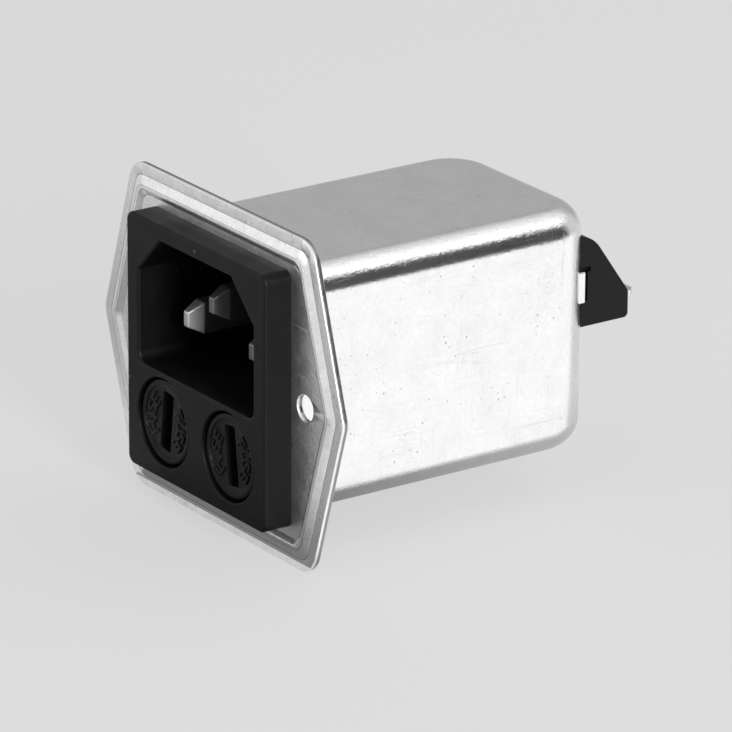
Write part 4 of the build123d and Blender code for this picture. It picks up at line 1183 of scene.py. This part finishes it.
@dataclass
class CoinSlotCap:
    """One fuse cap: rim, dished floor with raised lettering, coin slot, shank and lugs.

    The profiles are radius and depth: dish_edge from the dish's edge and floor, rim_inside from the
    dish's edge and the front, and rim_outside from the head's edge and the front. slot_edge is how
    far each step of the slot's edge stands out and sinks, in parts of slot_round.
    """

    side: Side
    lean: float
    axis: Vector
    front: float
    head_radius: float = 5.3
    head_depth: float = 2.6
    dish_radius: float = 4.5
    dish_depth: float = 0.2
    dish_edge: Profile = ((-0.10, 0.0), (-0.03, -0.03), (0.0, -0.10))
    rim_inside: Profile = ((0.05, 0.02), (0.12, 0.0))
    rim_outside: Profile = ((-0.30, 0.0), (-0.15, 0.04), (-0.04, 0.15), (0.0, 0.30))
    slot_width: float = 2.15
    slot_length: float = 7.5
    slot_depth: float = 1.6
    slot_corner: float = 0.25
    slot_round: float = 0.12
    slot_edge: Profile = ((0.35, 0.08), (0.0, 0.4), (0.0, 1.0))
    turn_steps: int = 96
    shank_radius: float = 4.3
    shank_length: float = 9.0
    shank_bore: float = 3.0
    shank_chamfer: float = 0.15
    lug_reach: float = 4.85
    lug_root: float = 4.0
    lug_width: float = 1.5
    lug_length: float = 1.6
    lug_setback: float = 5.3
    lug_round: float = 0.12
    word: str = "FUSE"
    letter_height: float = 1.75
    letter_width: float = 1.3
    letter_radius: float = 2.3
    letter_step: float = 25.0
    letter_rise: float = 0.17
    letter_size: float = 2.0
    letter_weight: float = 0.012
    letter_bevel: float = 0.035

    @property
    def floor(self) -> float:
        """The depth of the dish's floor."""
        return self.front + self.dish_depth

    def turned(self, bm: bmesh.types.BMesh) -> Edges:
        """The turned form, from the dish's edge out and back to the shank's end and its bore.

        Args:
            bm: The mesh to add to.

        Returns:
            The open ring round the dish's floor.
        """
        back = self.front + self.head_depth
        end = back + self.shank_length
        profile = [(self.dish_radius + out, self.floor + down) for out, down in self.dish_edge]
        profile += [(self.dish_radius + out, self.front + down) for out, down in self.rim_inside]
        profile += [(self.head_radius + out, self.front + down) for out, down in self.rim_outside]
        profile += [(self.head_radius, back), (self.shank_radius, back),
                    (self.shank_radius, end - self.shank_chamfer),
                    (self.shank_radius - self.shank_chamfer, end), (self.shank_bore, end),
                    (self.shank_bore, back), (0.0, back)]
        verts = [bm.verts.new((radius, y, 0)) for radius, y in profile]
        edges = [bm.edges.new(pair) for pair in zip(verts, verts[1:])]
        bmesh.ops.spin(bm, geom=verts + edges, cent=(0, 0, 0), axis=(0, 1, 0), angle=math.radians(360),
                       steps=self.turn_steps, use_merge=True)
        bmesh.ops.remove_doubles(bm, verts=bm.verts, dist=WELD)
        return [e for e in bm.edges
                if e.is_boundary and all(abs(v.co.y - self.floor) < NEAR for v in e.verts)]

    def slotted_floor(self, bm: bmesh.types.BMesh, ring: Edges) -> None:
        """The dish's floor with the coin slot sunk into it.

        Args:
            bm: The mesh.
            ring: The open ring round the floor.
        """
        form = RoundedForm(self.slot_width, self.slot_length, self.slot_corner)
        wide = rectangle(self.slot_width + 2 * self.slot_round, self.slot_length + 2 * self.slot_round,
                         self.slot_corner + self.slot_round)
        rim = outline(bm, wide, self.floor, 4)
        edges = rim
        for grow, sink in self.slot_edge:
            edges = carry(bm, edges, form.step(grow * self.slot_round, self.floor + sink * self.slot_round))
        edges = carry(bm, edges, form.step(0.0, self.floor + self.slot_depth))
        fill(bm, edges)
        fill(bm, ring + rim)

    def lugs(self, bm: bmesh.types.BMesh) -> None:
        """The two bayonet lugs on the shank.

        Args:
            bm: The mesh to add to.
        """
        y = self.front + self.head_depth + self.lug_setback
        half = self.lug_width / 2
        for side in Side:
            near, far = sorted((side.value * self.lug_root, side.value * self.lug_reach))
            edges = add_block(bm, (near, y, -half), (far, y + self.lug_length, half))
            round_off(bm, edges, self.lug_round, 2)

    def letter(self, glyph: str) -> bpy.types.Mesh:
        """One raised letter as a mesh, with the middle of its foot at the origin.

        Args:
            glyph: The letter.

        Returns:
            The mesh, in millimetres.
        """
        curve = bpy.data.curves.new("letter_" + glyph, "FONT")
        curve.body = glyph
        curve.size = self.letter_size
        curve.offset = self.letter_weight
        curve.extrude = self.letter_rise
        curve.bevel_depth = self.letter_bevel
        curve.bevel_resolution = 1
        holder = shown(curve.name, curve)
        bpy.context.view_layer.update()
        mesh = bpy.data.meshes.new_from_object(holder.evaluated_get(bpy.context.evaluated_depsgraph_get()))
        bpy.data.objects.remove(holder)
        low = Vector(min(v.co[i] for v in mesh.vertices) for i in range(3))
        high = Vector(max(v.co[i] for v in mesh.vertices) for i in range(3))
        size = high - low
        scale = Matrix.Diagonal((self.letter_width / size.x, self.letter_height / size.y, 1, 1))
        mesh.transform(scale @ Matrix.Translation((-(low.x + high.x) / 2, -low.y, 0)))
        return mesh

    def lettering(self, bm: bmesh.types.BMesh) -> None:
        """The word on each side of the slot, arched, with its letters' tops outward.

        Args:
            bm: The mesh to add to.
        """
        upright = Matrix.Rotation(math.radians(90), 4, "X")
        lift = Matrix.Translation((0, self.letter_radius, 0))
        for side in Side:
            for index, glyph in enumerate(self.word):
                along = (index - (len(self.word) - 1) / 2) * self.letter_step
                spin = Matrix.Rotation(math.radians(-90 * side.value - along), 4, "Z")
                mesh = self.letter(glyph)
                mesh.transform(Matrix.Translation((0, self.floor, 0)) @ upright @ spin @ lift)
                bm.from_mesh(mesh)
                bpy.data.meshes.remove(mesh)

    def place(self, bm: bmesh.types.BMesh) -> None:
        """Turn the cap to its resting lean and move it onto its axis.

        Args:
            bm: The mesh, which is round the origin's Y axis.
        """
        turn = Matrix.Rotation(math.radians(self.lean), 4, "Y")
        spot = Matrix.Translation((self.axis.x, 0, self.axis.z))
        bmesh.ops.transform(bm, matrix=spot @ turn, verts=bm.verts)

    def build(self, paints: Paints) -> None:
        """Make the cap and its lettering and dress them.

        Args:
            paints: The finishes.
        """
        body = Body["CAP_" + self.side.name].value
        bm = bmesh.new()
        self.slotted_floor(bm, self.turned(bm))
        self.lugs(bm)
        self.place(bm)
        piece = finished("slotted_cap_" + self.side.word, bm, paints.get("cap_moulding"), crease=40)
        settle(piece, body, ["fuse_cap_" + self.side.word])
        bm = bmesh.new()
        self.lettering(bm)
        self.place(bm)
        piece = finished("cap_lettering_" + self.side.word, bm, paints.get("cap_moulding"), crease=50)
        settle(piece, body)


@dataclass
class ContactPin:
    """One flat inlet pin with its tapered, rounded tip, in the place of its solid."""

    name: str
    # The default finish is the darker copy of the pin plating, which paints the recess's shade on the pin.
    finish: str = "dulled_pin"
    taper: float = 2.1
    tip_width: float = 1.0
    tip_height: float = 1.9
    tail_width: float = 1.0
    tail_height: float = 2.4
    tail_length: float = 3.0
    tail_overlap: float = 0.5
    edge_round: float = 0.16

    def build(self, paints: Paints) -> None:
        """Make the pin and dress it.

        Args:
            paints: The finishes.
        """
        node = "pin_" + self.name
        low, high = box_mm(node)
        size, middle = high - low, (low + high) / 2
        shoulder, end = low.y + self.taper, high.y - self.tail_length
        bm = bmesh.new()
        add_block(bm, (low.x, shoulder, low.z), (high.x, end, high.z))
        front = [f for f in bm.faces if all(v.co.y < shoulder + NEAR for v in f.verts)]
        made = bmesh.ops.extrude_discrete_faces(bm, faces=front)["faces"]
        for vert in made[0].verts:
            vert.co = Vector((middle.x + (vert.co.x - middle.x) * self.tip_width / size.x, low.y,
                              middle.z + (vert.co.z - middle.z) * self.tip_height / size.z))
        half_w, half_h = self.tail_width / 2, self.tail_height / 2
        add_block(bm, (middle.x - half_w, end - self.tail_overlap, middle.z - half_h),
                  (middle.x + half_w, high.y, middle.z + half_h))
        soften(bm, self.edge_round, least_turn=12, segments=3)
        piece = finished("contact_" + self.name, bm, paints.get(self.finish), crease=40)
        settle(piece, Body.MODULE.value, [node])


def dress_nodes(frame: dict, paints: Paints) -> None:
    """Give every solid that still shows its own finish.

    Args:
        paints: The finishes.
    """
    slots = {part["node"]: part["material_slot"] for part in frame["record"]["subparts"]}
    for name, node in frame["nodes"].items():
        node.data.materials.clear()
        node.data.materials.append(paints.get(slots[name]))


# ---------------------------------------------------------------- studio
def direction(azimuth: float, elevation: float) -> Vector:
    """A unit vector.

    Args:
        azimuth: 0 is the front and 90 is +X, in degrees.
        elevation: Degrees up from level.

    Returns:
        The vector, which points away from the part.
    """
    turn, rise = math.radians(azimuth), math.radians(elevation)
    return Vector((math.sin(turn) * math.cos(rise), -math.cos(turn) * math.cos(rise), math.sin(rise)))


@dataclass(frozen=True)
class SoftBox:
    """One soft studio lamp aimed at the part, with its distance and size in metres."""

    name: str
    azimuth: float
    elevation: float
    distance: float
    width: float
    height: float
    power: float
    mirrored: bool = True

    def build(self, centre: Vector) -> None:
        """Hang the lamp.

        Args:
            centre: What it is aimed at, in metres.
        """
        lamp = bpy.data.lights.new(self.name, "AREA")
        lamp.shape = "RECTANGLE"
        lamp.size = self.width
        lamp.size_y = self.height
        lamp.energy = self.power
        holder = shown(self.name, lamp)
        away = direction(self.azimuth, self.elevation)
        holder.location = centre + away * self.distance
        holder.rotation_euler = away.to_track_quat("Z", "Y").to_euler()
        holder.visible_camera = False
        holder.visible_glossy = self.mirrored


@dataclass(frozen=True)
class Card:
    """A flat card that only shows as a reflection, as a studio flag or bounce does."""

    name: str
    centre: Spot
    size: tuple[float, float]
    away: tuple[float, float]
    level: float
    far_level: float | None = None
    spin: float = 0.0

    def paint(self) -> bpy.types.Material:
        """The card's brightness, shaded evenly from one end to the other.

        Returns:
            The material.
        """
        far_level = self.level if self.far_level is None else self.far_level
        material = bpy.data.materials.new(self.name)
        desk = bare_desk(material)
        glow = desk.add("Emission", {"Color": (1.0, 1.0, 1.0, 1.0)})
        along = desk.split(object_place(desk))["X"]
        desk.join(desk.spread(along, -0.5, 0.5, self.level, far_level), glow.inputs["Strength"])
        desk.join(glow.outputs[0], desk.add("OutputMaterial").inputs["Surface"])
        return material

    def build(self) -> None:
        """Stand the card square to its away direction."""
        bm = bmesh.new()
        bmesh.ops.create_grid(bm, x_segments=1, y_segments=1, size=0.5)
        card = shown(self.name, made_mesh(self.name, bm, self.paint()))
        turn = direction(*self.away).to_track_quat("Z", "Y").to_matrix().to_4x4()
        turn = turn @ Matrix.Rotation(math.radians(self.spin), 4, "Z")
        size = Matrix.Diagonal((self.size[0] * MM, self.size[1] * MM, 1, 1))
        card.matrix_world = Matrix.Translation(Vector(self.centre) * MM) @ turn @ size
        card.visible_camera = False
        card.visible_diffuse = False
        card.visible_shadow = False
        card.visible_transmission = False


@dataclass
class Studio:
    """Floor, backdrop, lamps, cards and camera."""

    floor_level: float
    floor_size: float = 6000.0
    floor_share: float = 0.2
    backdrop: float = 0.706
    ambient: float = 0.55
    lamp_aim: Spot = (0.0, 20.0, 0.0)
    camera_azimuth: float = 55.23
    camera_elevation: float = 20.01
    camera_roll: float = 0.278
    camera_distance: float = 771.7
    camera_aim: Spot = (12.905, 11.245, 1.345)
    lens: float = 320.7
    sensor: float = 36.0

    def seen(self, desk: NodeDesk) -> Socket:
        """Whether a ray comes from the camera, a mirror-like surface or glass.

        Args:
            desk: The tree to add to.

        Returns:
            1 where it does, and 0 elsewhere.
        """
        path = desk.add("LightPath")
        first = desk.math("MAXIMUM", path.outputs["Is Camera Ray"], path.outputs["Is Glossy Ray"])
        return desk.math("MAXIMUM", first, path.outputs["Is Transmission Ray"])

    def world(self) -> None:
        """The backdrop as it is seen, and the plain light that it gives."""
        world = bpy.data.worlds.new("plain_backdrop")
        bpy.context.scene.world = world
        desk = bare_desk(world)
        level = desk.spread(self.seen(desk), 0.0, 1.0, self.ambient, self.backdrop)
        light = desk.add("Background")
        desk.join(level, light.inputs["Color"])
        desk.join(light.outputs[0], desk.add("OutputWorld").inputs["Surface"])

    def floor(self) -> None:
        """A wide pale floor that keeps a faint shadow."""
        material = bpy.data.materials.new("pale_floor")
        desk = bare_desk(material)
        plain = (self.backdrop, self.backdrop, self.backdrop, 1.0)
        paper = desk.add("BsdfDiffuse", {"Color": plain})
        glow = desk.add("Emission", {"Color": plain, "Strength": 1.0})
        mix = desk.add("MixShader")
        desk.join(desk.math("MULTIPLY", self.seen(desk), 1.0 - self.floor_share), mix.inputs[0])
        desk.join(paper.outputs[0], mix.inputs[1])
        desk.join(glow.outputs[0], mix.inputs[2])
        desk.join(mix.outputs[0], desk.add("OutputMaterial").inputs["Surface"])
        bm = bmesh.new()
        bmesh.ops.create_grid(bm, x_segments=1, y_segments=1, size=self.floor_size / 2)
        bmesh.ops.translate(bm, vec=(0, 0, self.floor_level), verts=bm.verts)
        bmesh.ops.scale(bm, vec=(MM, MM, MM), verts=bm.verts)
        floor = shown("pale_floor", made_mesh("pale_floor", bm, material))

    def lamps(self) -> None:
        """The soft lamps."""
        for box in (SoftBox("key", 78, 17, distance=0.9, width=0.17, height=0.4, power=8.5),
                    SoftBox("high_back", 172, 55, distance=0.8, width=0.9, height=0.45, power=1.6,
                            mirrored=False),
                    SoftBox("front_fill", -25, 20, distance=1.1, width=0.8, height=0.8, power=2.2)):
            box.build(Vector(self.lamp_aim) * MM)

    def cards(self) -> None:
        """The cards that shape the reflections in the bright metal."""
        low = self.floor_level
        for card in (Card("dark_card", (330.0, 260.0, 120.0), (440.0, 360.0), away=(128, 0), level=0.05),
                     Card("bright_card", (141.0, 110.0, low + 1.5), (240.0, 280.0), away=(0, 90), level=1.12),
                     # A dim card under the can: painted reflection of the floor's shade beneath it.
                     Card("under_card", (0.0, 26.0, low + 1.0), (80.0, 38.0), away=(0, 90), level=0.66,
                          far_level=0.10, spin=90),
                     Card("high_card", (-19.0, 554.0, 709.0), (1260.0, 700.0), away=(182, 52), level=1.75,
                          far_level=0.30),
                     # Darker towards the part: painted reflection of the floor's shade near the flange.
                     Card("front_card", (-65.0, -55.0, low + 1.0), (72.0, 150.0), away=(0, 90), level=0.12,
                          far_level=0.95, spin=90),
                     Card("grey_card", (-740.0, 516.0, 280.0), (1500.0, 800.0), away=(235, 0), level=0.44)):
            card.build()

    def camera(self) -> None:
        """The camera, turned by its small roll."""
        back = direction(self.camera_azimuth, self.camera_elevation)
        right = Vector((0, 0, 1)).cross(back).normalized()
        turn = Matrix((right, back.cross(right), back)).transposed().to_4x4()
        turn = turn @ Matrix.Rotation(math.radians(self.camera_roll), 4, "Z")
        data = bpy.data.cameras.new("camera")
        data.lens = self.lens
        data.sensor_width = self.sensor
        data.clip_start = 0.01
        camera = shown("camera", data)
        spot = Vector(self.camera_aim) * MM + back * self.camera_distance * MM
        camera.matrix_world = Matrix.Translation(spot) @ turn
        bpy.context.scene.camera = camera

    def build(self) -> None:
        """Set up the whole studio."""
        bpy.context.scene.view_settings.view_transform = "Standard"
        self.world()
        self.floor()
        self.lamps()
        self.cards()
        self.camera()


def main() -> None:
    """Build every piece in order."""
    logging.basicConfig(level=logging.INFO, format="%(name)s: %(message)s")
    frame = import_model()
    paints = Paints()
    Studio(box_mm("mounting_flange")[0].z - FLOOR_GAP).build()
    dress_nodes(frame, paints)
    holes = mount_sizes(frame, "mounting_holes")
    PressedFlange(holes["spacing_x_mm"], holes["hole_r_mm"]).build(paints)
    DrawnCan(length=box_mm("shield_can")[1].y).build(paints)
    for side, lean in ((Side.LEFT, 6.5), (Side.RIGHT, -6.8)):
        axis = axis_mm(frame, f"cap_{side.word}_turn")
        CoinSlotCap(side, lean, axis, box_mm("fuse_cap_" + side.word)[0].y).build(paints)
    for pin in (ContactPin("line", "plated_pin"), ContactPin("neutral"), ContactPin("earth")):
        pin.build(paints)


if __name__ == "__main__":
    main()
